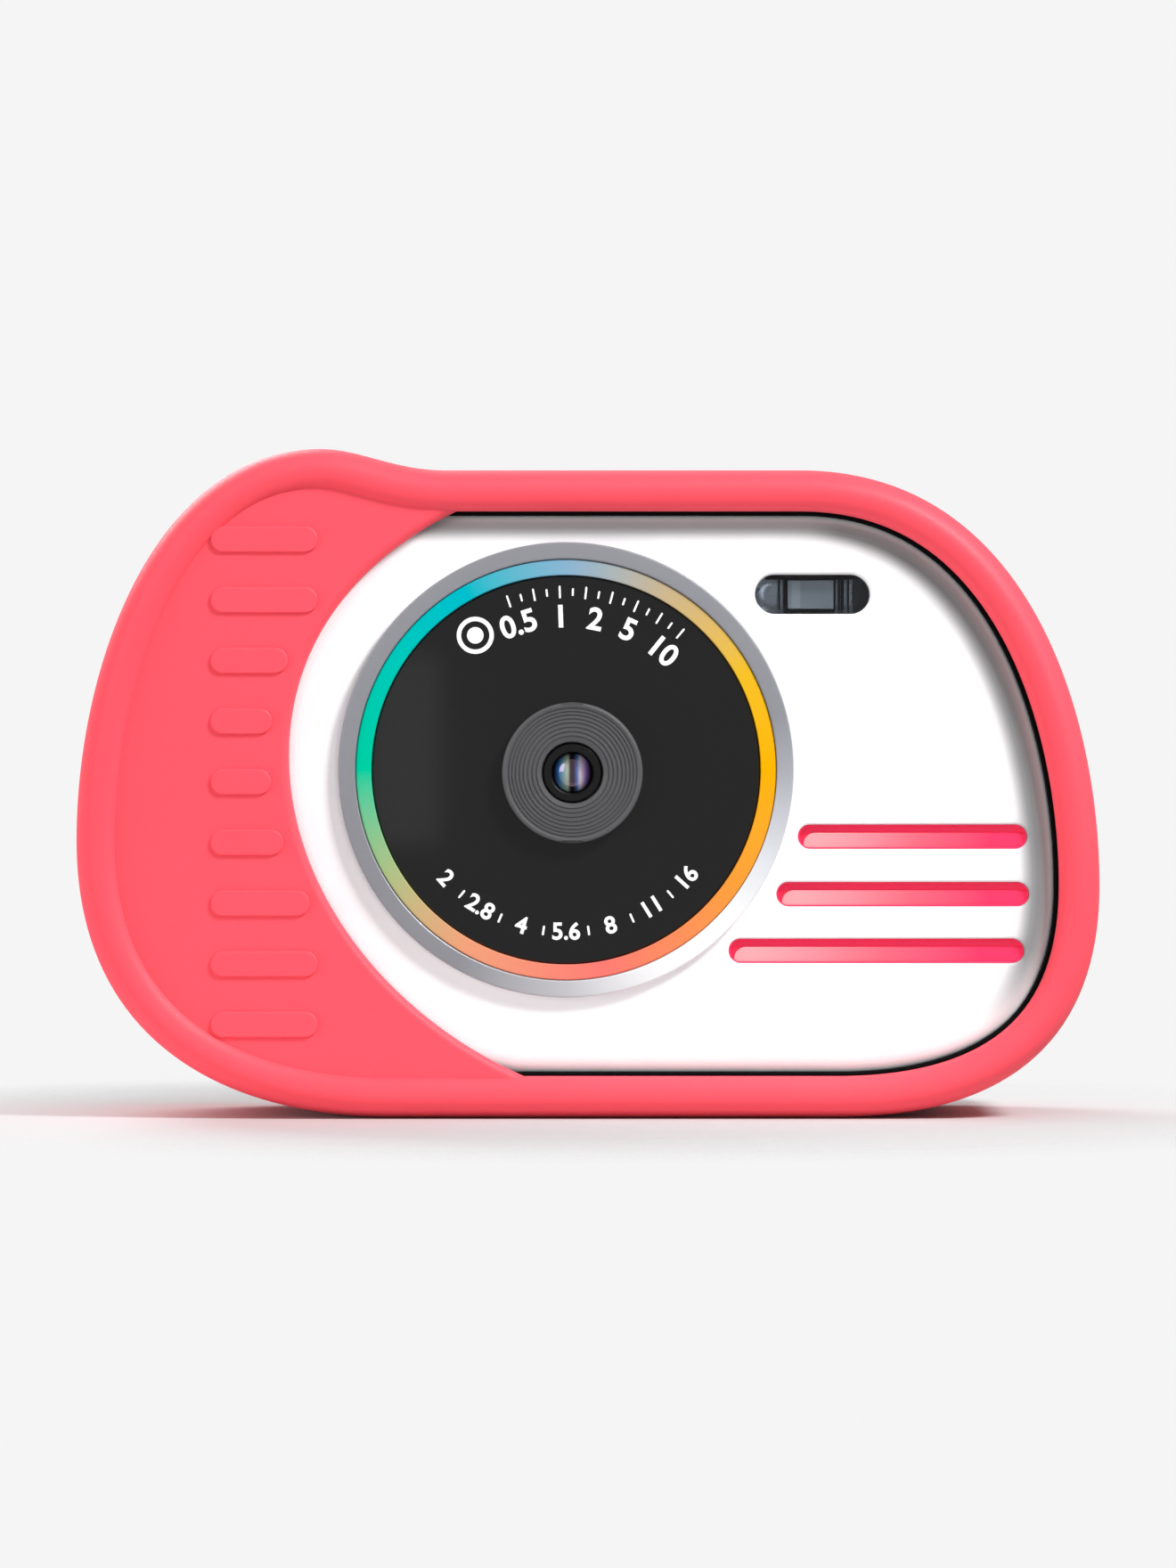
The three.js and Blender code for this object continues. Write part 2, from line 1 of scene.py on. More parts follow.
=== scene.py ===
"""Looks for a child's digital camera in a silicone sleeve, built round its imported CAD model.

Sizes are written in millimetres, as in the CAD, and become metres where a mesh is made.
The lens looks along -Y, +X is to the right seen from the front, +Z is up.
"""
import math

import bmesh
import bpy
import numpy as np
from mathutils import Matrix, Vector

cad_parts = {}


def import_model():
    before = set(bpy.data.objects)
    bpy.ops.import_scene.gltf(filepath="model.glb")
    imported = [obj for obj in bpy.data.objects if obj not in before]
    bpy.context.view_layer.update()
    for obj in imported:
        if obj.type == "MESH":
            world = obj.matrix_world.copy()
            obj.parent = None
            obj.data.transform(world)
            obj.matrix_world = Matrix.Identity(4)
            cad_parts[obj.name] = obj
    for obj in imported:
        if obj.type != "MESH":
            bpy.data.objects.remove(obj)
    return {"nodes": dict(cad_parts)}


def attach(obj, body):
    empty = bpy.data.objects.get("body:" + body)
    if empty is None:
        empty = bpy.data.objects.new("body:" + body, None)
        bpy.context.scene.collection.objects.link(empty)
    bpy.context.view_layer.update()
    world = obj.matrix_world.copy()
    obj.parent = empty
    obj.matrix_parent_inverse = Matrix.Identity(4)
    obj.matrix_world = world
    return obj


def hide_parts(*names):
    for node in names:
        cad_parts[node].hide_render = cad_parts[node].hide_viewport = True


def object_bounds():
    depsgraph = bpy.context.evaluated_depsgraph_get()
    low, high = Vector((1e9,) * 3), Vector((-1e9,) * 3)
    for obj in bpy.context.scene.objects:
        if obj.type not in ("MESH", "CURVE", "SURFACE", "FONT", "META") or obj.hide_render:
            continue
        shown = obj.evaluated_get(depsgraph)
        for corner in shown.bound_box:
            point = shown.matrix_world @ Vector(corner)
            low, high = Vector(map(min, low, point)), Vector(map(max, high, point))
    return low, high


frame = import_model()
cad_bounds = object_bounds()
MM = 0.001

# ---- driving dimensions, as in the CAD
BODY_INSET = 2.7
INNER_INSET = 4.5
PLATE_INSET = 4.55
PLATE_ROLL = 2.4
FACE_Y = -12.6
SHOULDER_Y = -11.4
FLAP_Y = -14.1
BACK_Y = 12.6
PARTING = 0.8
RING_CENTRE = (-2.25, 35.65)
RING_RADIUS = 23.3
COLOUR_RADIUS = 21.5
WINDOW_RADIUS = 19.9
WINDOW_Y = -13.4
LENS = (-1.6, 35.35)
BEZEL_RADIUS = 7.2
BEZEL_BORE = 3.1
FLASH = {"x": 23.0, "z": 53.65, "length": 11.8, "height": 4.05}
SLOT_HEIGHT = 2.5
SLOTS = [(21.5, 45.0, 28.8), (19.3, 45.2, 22.9), (14.4, 44.7, 17.1)]  # left, right, z
SHUTTER = {"x": -28.0, "y": 0.0, "radius": 5.6}
POWER = {"x": 10.0, "y": 5.0, "radius": 2.8}
SCREEN = {"x": 14.5, "z": 34.0, "width": 48.0, "height": 38.0}
PAD = {"x": -29.0, "z": 29.0, "pitch": 8.6}
KEYS = {
    "ok": (PAD["x"], PAD["z"], 4.0),
    "up": (PAD["x"], PAD["z"] + PAD["pitch"], 3.1),
    "down": (PAD["x"], PAD["z"] - PAD["pitch"], 3.1),
    "left": (PAD["x"] + PAD["pitch"], PAD["z"], 3.1),
    "right": (PAD["x"] - PAD["pitch"], PAD["z"], 3.1),
    "menu": (-22.0, 50.5, 3.1),
    "playback": (-34.0, 50.5, 3.1),
}
KEY_TOP_Y = 13.4
SPEAKER = (-27.0, 10.9)
DOOR = {"low": 12.6, "high": 38.4, "z": 25.5, "front": 1.2, "back": 8.5}
HINGE = {"x": 50.0, "y": 9.9, "knuckle": 1.1}
STRAP = {"x": -48.2, "y": 5.9, "z": 28.4, "pin": 0.9}
SCREWS = [(-40.5, 13.5), (40.0, 10.5), (34.0, 56.4), (-41.0, 51.5)]


# ---- outline of the camera
# Cubic stretches of the silhouette seen from the front, anticlockwise from the flat base.
STRETCHES = [
    [(-20, 0), (-4.8, 0), (10.4, 0), (25.6, 0)],
    [(25.6, 0), (42.3, 0), (52.5, 7.2), (52.5, 23.8)],
    [(52.5, 23.8), (52.5, 40.8), (45.5, 66.4), (21.8, 66.4)],
    [(21.8, 66.4), (9.6, 66.4), (-2.5, 66.4), (-14.7, 66.4)],
    [(-14.7, 66.4), (-19.9, 66.4), (-23.5, 68.6), (-27.4, 68.6)],
    [(-27.4, 68.6), (-44.6, 68.6), (-52.5, 46.2), (-52.5, 28.4)],
    [(-52.5, 28.4), (-52.5, 8.3), (-38, 0), (-20, 0)],
]
OUTLINE_STEPS = 260


def cubic(points, t):
    """Points on a cubic at each t."""
    p = np.array(points, float)
    t = np.asarray(t)[:, None]
    s = 1 - t
    return s**3 * p[0] + 3 * s * s * t * p[1] + 3 * s * t * t * p[2] + t**3 * p[3]


def evenly(points, count):
    """The closed run of points again, with count points spaced evenly along it."""
    looped = np.vstack([points, points[:1]])
    run = np.concatenate([[0], np.cumsum(np.linalg.norm(np.diff(looped, axis=0), axis=1))])
    at = np.linspace(0, run[-1], count, endpoint=False)
    return np.column_stack([np.interp(at, run, looped[:, k]) for k in (0, 1)])


def unit(vectors):
    return vectors / np.linalg.norm(vectors, axis=1)[:, None]


def silhouette():
    """The outline's points and the direction inwards at each."""
    dense = np.vstack([cubic(s, np.linspace(0, 1, 400, endpoint=False)) for s in STRETCHES])
    points = evenly(dense, OUTLINE_STEPS)
    along = unit(np.roll(points, -1, axis=0) - np.roll(points, 1, axis=0))
    return points, np.column_stack([-along[:, 1], along[:, 0]])


EDGE, INWARD = silhouette()


def outline(inset):
    """The silhouette moved inwards by inset."""
    return EDGE + INWARD * inset


def grown(points, by):
    """Any closed anticlockwise polygon moved outwards by that much."""
    before = unit(points - np.roll(points, 1, axis=0))
    after = unit(np.roll(points, -1, axis=0) - points)
    along = unit(before + after)
    stretch = 1 / np.clip((along * before).sum(1), 0.5, 1)
    return points + np.column_stack([along[:, 1], -along[:, 0]]) * by * stretch[:, None]


def arc(x, z, radius, start, end, steps):
    a = np.radians(np.linspace(start, end, steps))
    return np.column_stack([x + radius * np.cos(a), z + radius * np.sin(a)])


def circle(x, z, radius, steps=64):
    return arc(x, z, radius, 0, 360 * (1 - 1 / steps), steps)


def tablet(x, z, width, height, corner, steps=9):
    """A rectangle with round corners."""
    dx = width / 2 - corner
    dz = height / 2 - corner
    corners = [(dx, -dz, -90), (dx, dz, 0), (-dx, dz, 90), (-dx, -dz, 180)]
    return np.vstack([arc(x + a, z + b, corner, s, s + 90, steps) for a, b, s in corners])


def pill(x, z, length, height, steps=16):
    return tablet(x, z, length, height, height / 2 * 0.999, steps)


# A shape is a function that gives its outline moved inwards by an inset.
def round_shape(x, z, radius, steps=64):
    return lambda inset: circle(x, z, radius - inset, steps)


def tablet_shape(x, z, width, height, corner):
    return lambda inset: tablet(x, z, width - 2 * inset, height - 2 * inset, corner - inset)


def pill_shape(x, z, length, height, steps=16):
    return lambda inset: pill(x, z, length - 2 * inset, height - 2 * inset, steps)


def quarter(steps):
    """1 - cos and 1 - sin along a quarter turn: from 0, 1 to 1, 0."""
    a = np.linspace(0, math.pi / 2, steps)
    return np.column_stack([1 - np.cos(a), 1 - np.sin(a)])


def side_curve(chosen, axis):
    """A function that gives a side's other coordinate at each place along the axis."""
    side = EDGE[chosen]
    side = side[np.argsort(side[:, axis])]
    return lambda at: np.interp(at, side[:, axis], side[:, 1 - axis])


right_x = side_curve((EDGE[:, 0] > 36) & (EDGE[:, 1] < 58), 1)
left_x = side_curve((EDGE[:, 0] < -38) & (EDGE[:, 1] < 58), 1)
top_z = side_curve(EDGE[:, 1] > 60, 0)


def on_right_side(flat, depth):
    """Points in Y and Z as a ring that lies that deep under the right side."""
    return np.column_stack([right_x(flat[:, 1]) - depth, flat])


# ---- meshes
SMOOTH_ANGLE = math.radians(32)


def linked(name, data):
    """A new object in the scene."""
    made = bpy.data.objects.new(name, data)
    bpy.context.scene.collection.objects.link(made)
    return made


def new_object(name, vertices, faces):
    """Vertices in millimetres."""
    mesh = bpy.data.meshes.new(name)
    mesh.from_pydata([tuple(v) for v in np.array(vertices, float) * MM], [], faces)
    work = bmesh.new()
    work.from_mesh(mesh)
    bmesh.ops.recalc_face_normals(work, faces=work.faces)
    work.to_mesh(mesh)
    work.free()
    return linked(name, mesh)


def loft(name, rings, wrap=False):
    """Skin over closed rings of equal length. Its ends are capped, or joined to each other with wrap."""
    count = len(rings[0])
    faces = []
    pairs = [(k, k + 1) for k in range(len(rings) - 1)]
    if wrap:
        pairs.append((len(rings) - 1, 0))
    for a, b in pairs:
        for j in range(count):
            k = (j + 1) % count
            faces.append((a * count + j, a * count + k, b * count + k, b * count + j))
    if not wrap:
        faces.append(tuple(range(count)))
        faces.append(tuple((len(rings) - 1) * count + j for j in reversed(range(count))))
    return new_object(name, np.vstack(rings), faces)


def at_x(points, x):
    return np.column_stack([np.full(len(points), x), points])


def at_y(points, y):
    return np.column_stack([points[:, 0], np.full(len(points), y), points[:, 1]])


def at_z(points, z):
    return np.column_stack([points, np.broadcast_to(z, len(points))])


def plate(name, shape, profile, wrap=False):
    """shape(inset) gives an outline. profile is pairs of inset and y."""
    return loft(name, [at_y(shape(inset), y) for inset, y in profile], wrap)


def flat_mark(points, y0, y1):
    return plate("mark", lambda inset: points, [(0, y0), (0, y1)])


def turned(name, profile, centre, steps=112, closed=False):
    """A turned piece round an axis along Y. profile is pairs of radius and y."""
    rows = []
    vertices = []
    for radius, y in profile:
        if radius < 1e-6:
            rows.append([len(vertices)] * steps)
            vertices.append((centre[0], y, centre[1]))
            continue
        rows.append(list(range(len(vertices), len(vertices) + steps)))
        vertices.extend(at_y(circle(*centre, radius, steps), y))
    pairs = list(zip(rows, rows[1:]))
    if closed:
        pairs.append((rows[-1], rows[0]))
    faces = []
    for a, b in pairs:
        for j in range(steps):
            k = (j + 1) % steps
            corners = list(dict.fromkeys([a[j], a[k], b[k], b[j]]))
            if len(corners) > 2:
                faces.append(tuple(corners))
    return new_object(name, vertices, faces)


def rounded(inset, y, radius, steps=5, towards=-1):
    """Profile points of a round edge from inset to the flat at y, which looks towards that side."""
    return [(inset + radius * u, y - towards * radius * v) for u, v in quarter(steps)]


def rod(name, x, y, z0, z1, radius, edge=0.15, steps=40):
    """A round bar along Z with softened ends."""
    profile = [(radius - edge, z0), (radius, z0 + edge), (radius, z1 - edge), (radius - edge, z1)]
    return loft(name, [at_z(circle(x, y, r, steps), z) for r, z in profile])


def block(name, x0, x1, y0, y1, z0, z1, corner=0.3):
    """A box with round edges seen from the front."""
    x = (x0 + x1) / 2
    z = (z0 + z1) / 2
    return plate(name, lambda i: tablet(x, z, x1 - x0, z1 - z0, corner, 5), [(0, y0), (0, y1)])


def carve(body, *cutters, operation="DIFFERENCE"):
    """Cuts, joins or intersects the body with each cutter, which is used up."""
    for cutter in cutters:
        change = body.modifiers.new("cut", "BOOLEAN")
        change.operation = operation
        change.solver = "EXACT"
        change.object = cutter
    apply_all(body)
    for cutter in cutters:
        bpy.data.objects.remove(cutter)
    return body


def apply_all(body):
    """Bakes the modifiers into the mesh."""
    settled = body.evaluated_get(bpy.context.evaluated_depsgraph_get())
    mesh = bpy.data.meshes.new_from_object(settled)
    body.modifiers.clear()
    body.data = mesh
    return body


def merged(name, *parts):
    """One object from several."""
    work = bmesh.new()
    for part in parts:
        work.from_mesh(part.data)
        bpy.data.objects.remove(part)
    mesh = bpy.data.meshes.new(name)
    work.to_mesh(mesh)
    work.free()
    return linked(name, mesh)


def piece(made, finish, slot, *replaced, body="housing"):
    """Gives a finished mesh its shading, material and body; the slot argument is not used."""
    mesh = made.data
    mesh.materials.clear()
    mesh.materials.append(finish)
    mesh.shade_smooth()
    mesh.set_sharp_from_angle(angle=SMOOTH_ANGLE)
    flat = made.modifiers.new("flat faces stay flat", "WEIGHTED_NORMAL")
    flat.keep_sharp = True
    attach(made, body)
    if replaced:
        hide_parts(*replaced)


# ---- materials
def linear(rgb):
    """sRGB 0 to 255 as linear values."""
    c = np.array(rgb[:3], float) / 255
    return (*np.where(c <= 0.04045, c / 12.92, ((c + 0.055) / 1.055) ** 2.4), 1.0)


class Finish:
    """A procedural material: a colour with slow variation, fine grain in its roughness and bump."""

    def __init__(self, name, rgb, roughness, metallic=0.0, grain=0.0, size=0.4, mottle=0.03, **sockets):
        self.material = bpy.data.materials.new(name)
        self.material.use_nodes = True
        self.nodes = self.material.node_tree.nodes
        self.links = self.material.node_tree.links
        self.shader = self.nodes["Principled BSDF"]
        self.place = self.node("TexCoord").outputs["Object"]
        self.shader.inputs["Metallic"].default_value = metallic
        for socket, value in sockets.items():
            self.shader.inputs[socket.replace("_", " ")].default_value = value
        colour = self.node("RGB").outputs[0]
        colour.default_value = linear(rgb)
        slow = self.noise(1 / (18 * MM), 3)
        self.tint(colour, slow, mottle)
        fine = self.noise(1 / (size * MM), 4)
        self.wire(self.spread(fine, roughness * 0.85, roughness * 1.15), self.shader.inputs["Roughness"])
        self.bumps = None
        if grain:
            self.bump(fine, grain)

    def node(self, kind):
        return self.nodes.new(f"ShaderNode{kind}")

    def wire(self, output, socket):
        self.links.new(output, socket)

    def noise(self, scale, detail, place=None):
        node = self.node("TexNoise")
        node.inputs["Scale"].default_value = scale
        node.inputs["Detail"].default_value = detail
        self.wire(place or self.place, node.inputs["Vector"])
        return node.outputs["Fac"]

    def spread(self, factor, low, high, start=0.3, end=0.7):
        node = self.node("MapRange")
        for socket, number in zip(("From Min", "From Max", "To Min", "To Max"), (start, end, low, high)):
            node.inputs[socket].default_value = number
        self.wire(factor, node.inputs["Value"])
        return node.outputs["Result"]

    def math(self, operation, a, b=None, kind="Math"):
        node = self.node(kind)
        node.operation = operation
        for socket, item in zip(node.inputs, (a, b)):
            if item is None:
                continue
            if isinstance(item, (int, float)):
                socket.default_value = item
            else:
                self.wire(item, socket)
        return node.outputs[0]

    def tint(self, colour, factor, amount):
        """The base colour, darker and lighter by amount with the factor."""
        scale = self.node("VectorMath")
        scale.operation = "SCALE"
        self.wire(colour, scale.inputs[0])
        self.wire(self.spread(factor, 1 - amount, 1 + amount), scale.inputs["Scale"])
        self.wire(scale.outputs[0], self.shader.inputs["Base Color"])
        self.tinted = scale

    def recolour(self, colour):
        """Another source for the base colour, under the same variation."""
        self.wire(colour, self.tinted.inputs[0])

    def bump(self, height, depth):
        """Adds relief of that depth in millimetres."""
        node = self.node("Bump")
        node.inputs["Distance"].default_value = depth * MM
        self.wire(height, node.inputs["Height"])
        if self.bumps:
            self.wire(self.bumps, node.inputs["Normal"])
        self.bumps = node.outputs["Normal"]
        self.wire(self.bumps, self.shader.inputs["Normal"])

    def ramp(self, factor, stops, mode="LINEAR"):
        """stops is pairs of position and sRGB colour."""
        node = self.node("ValToRGB")
        node.color_ramp.interpolation = mode
        elements = node.color_ramp.elements
        while len(elements) < len(stops):
            elements.new(0.5)
        for element, (position, rgb) in zip(elements, stops):
            element.position = position
            element.color = linear(rgb)
        self.wire(factor, node.inputs["Fac"])
        return node.outputs["Color"]

    def about(self, centre):
        """X and Z from a centre, in metres."""
        parts = self.node("SeparateXYZ")
        self.wire(self.place, parts.inputs[0])
        x = self.math("SUBTRACT", parts.outputs["X"], centre[0] * MM)
        z = self.math("SUBTRACT", parts.outputs["Z"], centre[1] * MM)
        return x, z

    def turn(self, centre):
        """The angle round a centre, from 0 to 1, anticlockwise from the right."""
        x, z = self.about(centre)
        angle = self.math("ARCTAN2", z, x)
        return self.math("FRACT", self.math("DIVIDE", angle, 2 * math.pi))

    def radius(self, centre):
        x, z = self.about(centre)
        return self.math("SQRT", self.math("ADD", self.math("MULTIPLY", x, x), self.math("MULTIPLY", z, z)))


def white_plastic(name, painted_shade=False):
    """Glossy white moulding. With the flag set, it greys softly where the mesh's stored rim value falls
    below 1: a painted shade in place of the shadow that the sleeve's lip casts.
    """
    made = Finish(name, (252, 252, 253), 0.38, grain=0.006, size=0.22, mottle=0.01)
    cloudy = made.noise(1 / (3.5 * MM), 5)
    colour = made.ramp(cloudy, [(0.35, (252, 252, 253)), (0.65, (248, 248, 250))])
    if painted_shade:
        # Painted shade: the white greys where the stored rim value is low.
        rim = made.node("Attribute")
        rim.attribute_name = "rim_painted_shade"
        grey = made.ramp(rim.outputs["Fac"], [(0.0, (127, 131, 131)), (1.0, (255, 255, 255))])
        colour = made.math("MULTIPLY", colour, grey, "VectorMath")
    made.recolour(colour)
    return made.material


def silver():
    """Satin silver paint with fine turned rings, and a painted highlight that makes it brightest at its
    lower right.
    """
    made = Finish("silver_trim", (150, 151, 157), 0.42, metallic=0.2, size=0.3, mottle=0.02)
    grooves = made.math("SINE", made.math("MULTIPLY", made.radius(RING_CENTRE), 2 * math.pi / (0.12 * MM)))
    made.bump(grooves, 0.0012)
    # Painted highlight: dull grey over the top and left, sweeping to near white at the lower right.
    dull = (141, 142, 148)
    made.recolour(made.ramp(made.turn(RING_CENTRE), [
        (0.0, (166, 166, 175)), (0.04, dull), (0.67, dull),
        (0.75, (192, 193, 198)), (0.82, (246, 247, 248)), (0.88, (250, 251, 251)),
        (0.93, (224, 227, 232)), (1.0, (166, 166, 175)),
    ]))
    return made.material


def rainbow():
    made = Finish("colour_print", (188, 188, 141), 0.5, grain=0.002, size=0.2, mottle=0.01,
                  Specular_IOR_Level=0.0)
    amber = (237, 167, 3)
    made.recolour(made.ramp(made.turn(RING_CENTRE), [
        (0.0, amber), (0.08, (224, 177, 37)), (0.17, (185, 166, 131)),
        (0.25, (126, 165, 192)), (0.33, (0, 174, 188)), (0.42, (0, 186, 169)),
        (0.5, (0, 191, 148)), (0.58, (157, 180, 125)), (0.67, (223, 149, 114)),
        (0.78, (232, 113, 106)), (0.9, (229, 145, 57)), (1.0, amber),
    ]))
    return made.material


def slot_painted_light():
    """The ramps in the slots: their red plastic painted pale pink at the left ends as if lit, turning red
    towards their right ends.
    """
    made = Finish("slot_painted_light", (255, 130, 150), 0.4, grain=0.003, size=0.3, mottle=0.015,
                  Specular_IOR_Level=0.3)
    along = made.node("SeparateXYZ")
    source = made.node("TexCoord")
    made.wire(source.outputs["Generated"], along.inputs[0])
    # Painted light: pale at the left end, deep red at the right.
    made.recolour(made.ramp(along.outputs["X"], [
        (0.06, (255, 163, 168)), (0.23, (255, 145, 156)), (0.38, (255, 123, 137)),
        (0.53, (255, 99, 120)), (0.7, (255, 80, 112)), (0.85, (255, 54, 100)),
    ]))
    return made.material


def brushed_steel():
    """Metal with fine lines along Z."""
    made = Finish("steel", (196, 198, 202), 0.32, metallic=1.0, mottle=0.03)
    stretch = made.node("Mapping")
    stretch.inputs["Scale"].default_value = (1, 1, 0.03)
    made.wire(made.place, stretch.inputs["Vector"])
    made.bump(made.noise(1 / (0.15 * MM), 3, stretch.outputs["Vector"]), 0.004)
    return made.material


def circuit_board():
    """Green solder mask over copper tracks."""
    made = Finish("board", (18, 92, 52), 0.35, mottle=0.05, Coat_Weight=0.5, Coat_Roughness=0.2)
    bricks = made.node("TexBrick")
    bricks.inputs["Scale"].default_value = 1 / (6 * MM)
    bricks.inputs["Mortar Size"].default_value = 0.03
    for socket, rgb in (("Color1", (18, 92, 52)), ("Color2", (16, 84, 48)), ("Mortar", (44, 128, 74))):
        bricks.inputs[socket].default_value = linear(rgb)
    turn = made.node("Mapping")
    turn.inputs["Rotation"].default_value = (math.pi / 2, 0, 0)
    made.wire(made.place, turn.inputs["Vector"])
    made.wire(turn.outputs["Vector"], bricks.inputs["Vector"])
    made.recolour(bricks.outputs["Color"])
    made.bump(bricks.outputs["Fac"], 0.03)
    return made.material


def lens_coating_and_painted_reflection():
    """Dark glass with a thin film, and painted reflections: crescents of blue, green, violet and near white,
    as a coated lens reflects them.
    """
    made = Finish("lens_glass", (8, 10, 22), 0.04, mottle=0.05, Coat_Weight=1.0, Coat_Roughness=0.02,
                  IOR=1.7, Thin_Film_Thickness=420, Thin_Film_IOR=1.9)
    across = made.about(LENS)[0]
    reach = made.spread(across, 0, 1, -2 * MM, 2 * MM)
    # Painted reflections: coloured and near white crescents either side of a dark middle.
    made.recolour(made.ramp(reach, [
        (0.02, (12, 22, 44)), (0.13, (36, 100, 170)), (0.25, (100, 156, 176)),
        (0.37, (170, 186, 160)), (0.45, (10, 12, 18)), (0.54, (12, 14, 26)),
        (0.62, (60, 100, 160)), (0.7, (196, 188, 200)), (0.86, (124, 88, 166)),
        (0.98, (16, 10, 28)),
    ]))
    return made.material


def simple(name, rgb, roughness, **more):
    return Finish(name, rgb, roughness, **more).material


SILICONE = simple("silicone_coral", (255, 82, 97), 0.55, grain=0.012, size=0.25, mottle=0.015,
                  Coat_Weight=0.03, Coat_Roughness=0.4, Specular_IOR_Level=0.3, Subsurface_Weight=0.12,
                  Subsurface_Radius=(1.2 * MM, 0.35 * MM, 0.3 * MM), Subsurface_Scale=1.0)
WHITE = white_plastic("white_cover")
# The front plate's white carries a painted shade beside its upper right rim.
WHITE_FRONT = white_plastic("white_front", painted_shade=True)
SEAL = simple("black_rubber", (5, 5, 6), 0.8, grain=0.01, size=0.3, Specular_IOR_Level=0.1)
SILVER = silver()
RAINBOW = rainbow()
BLACK_GLOSS = simple("black_acrylic", (21, 21, 22), 0.05, mottle=0.02)
PRINT = simple("white_print", (250, 250, 250), 0.5, grain=0.002, size=0.1)
BEZEL = simple("bezel_grey", (79, 79, 81), 0.45, grain=0.004, size=0.2)
BARREL = simple("black_anodised", (18, 18, 18), 0.4, metallic=0.4, grain=0.003, size=0.15)
LENS_GLASS = lens_coating_and_painted_reflection()
RED = simple("slot_red", (255, 58, 104), 0.35, grain=0.003, size=0.3, mottle=0.02,
             Specular_IOR_Level=0.3)
SLOT_PAINTED_LIGHT = slot_painted_light()
STEEL = brushed_steel()
BOARD = circuit_board()
KEY_WHITE = simple("key_white", (240, 240, 243), 0.32, grain=0.003, size=0.2, Coat_Weight=0.2,
                   Coat_Roughness=0.2)
KEY_CORAL = simple("key_coral", (248, 88, 100), 0.42, grain=0.003, size=0.2, Coat_Weight=0.08,
                   Coat_Roughness=0.3)
KEY_PRINT = simple("key_print", (120, 122, 128), 0.5, grain=0.002, size=0.1)
SCREEN_BLACK = simple("screen_black", (10, 10, 12), 0.06, Coat_Weight=1.0, Coat_Roughness=0.02)
DISPLAY = simple("display_off", (22, 25, 32), 0.12, mottle=0.08, Coat_Weight=1.0, Coat_Roughness=0.03)
REFLECTOR = simple("reflector", (134, 139, 146), 0.3, metallic=1.0, mottle=0.04, grain=0.004, size=0.5)
SMOKE = simple("flash_smoke", (232, 236, 240), 0.08, mottle=0.02, Transmission_Weight=1.0, IOR=1.3,
               Specular_IOR_Level=0.2)
LAMP = simple("flash_lamp", (142, 150, 158), 0.35, mottle=0.06, Coat_Weight=0.6, Coat_Roughness=0.1)
LAMP_BRIGHT = simple("flash_tube", (170, 177, 184), 0.2, mottle=0.06, Coat_Weight=0.6,
                     Coat_Roughness=0.05)
# Dark bars, and the painted shadow across the top of the flash.
LAMP_DARK = simple("flash_bar_and_painted_shadow", (6, 6, 7), 0.7, mottle=0.06, Specular_IOR_Level=0.1)
# The dark sheet over the flash's right end: painted shade.
FLASH_END_PAINTED_SHADE = simple("flash_painted_shade", (48, 50, 52), 0.6, mottle=0.06, Specular_IOR_Level=0.1)
CHIP = simple("chip_black", (24, 24, 26), 0.45, grain=0.008, size=0.15)
FOIL = simple("cell_foil", (188, 190, 196), 0.3, metallic=0.9, grain=0.05, size=3.0)
FOAM = simple("foam", (38, 38, 40), 0.95, grain=0.08, size=0.6)
MEMBRANE = simple("key_membrane", (128, 132, 138), 0.6, grain=0.01, size=0.3)
FILM = simple("film_amber", (206, 150, 50), 0.3, mottle=0.08, Coat_Weight=0.4)
CARRIER = simple("carrier_grey", (42, 42, 44), 0.5, grain=0.01, size=0.3)
FILTER = simple("filter_pink", (200, 90, 110), 0.05, Transmission_Weight=0.7)
WIRE_RED = simple("wire_red", (200, 20, 24), 0.35, grain=0.004, size=0.3)
WIRE_BLACK = simple("wire_black", (16, 16, 17), 0.35, grain=0.004, size=0.3)
CONNECTOR = simple("connector_cream", (230, 224, 208), 0.4, grain=0.005, size=0.3)
GOLD = simple("contact_gold", (212, 170, 80), 0.25, metallic=1.0, mottle=0.04)

NODE_FINISH = {
    SEAL: ["body_gasket", "port_seal"],
    CARRIER: ["window_carrier", "lens_holder"],
    LENS_GLASS: ["middle_lens", "rear_lens"],
    FILTER: ["infrared_filter"],
    STEEL: ["screen_frame", "hinge_pin", "usb_socket", "card_socket", "microphone"],
    BOARD: ["camera_board", "flash_board", "key_board", "main_board"],
    CHIP: ["image_sensor", "shutter_switch", "power_switch", "processor_chip", "memory_card", "speaker"],
    DISPLAY: ["screen_panel"],
    FOIL: ["battery"],
    FOAM: ["battery_pad"],
    MEMBRANE: ["key_mat"],
    FILM: ["camera_ribbon"],
    WIRE_RED: ["battery_lead_red"],
    WIRE_BLACK: ["battery_lead_black"],
    CONNECTOR: ["battery_socket"],
}


def dress_inner_nodes():
    for finish, names in NODE_FINISH.items():
        for name in names:
            mesh = frame["nodes"][name].data
            mesh.materials.clear()
            mesh.materials.append(finish)


# ---- cuts with round rims
def rim_steps(radius, deep, steps=5):
    """Pairs of growth and depth for a cutter that leaves a round rim: wide outside, straight inside."""
    curve = [(radius * v, radius * u) for u, v in quarter(steps)]
    return [(radius, -1.5), (radius, -0.01)] + curve[1:] + [(0, deep)]


def face_cutter(shape, y, radius, deep, side=-1):
    """A cutter into a flat face at y that looks towards side."""
    rings = [at_y(shape(-grow), y - side * depth) for grow, depth in rim_steps(radius, deep)]
    return loft("cutter", rings)


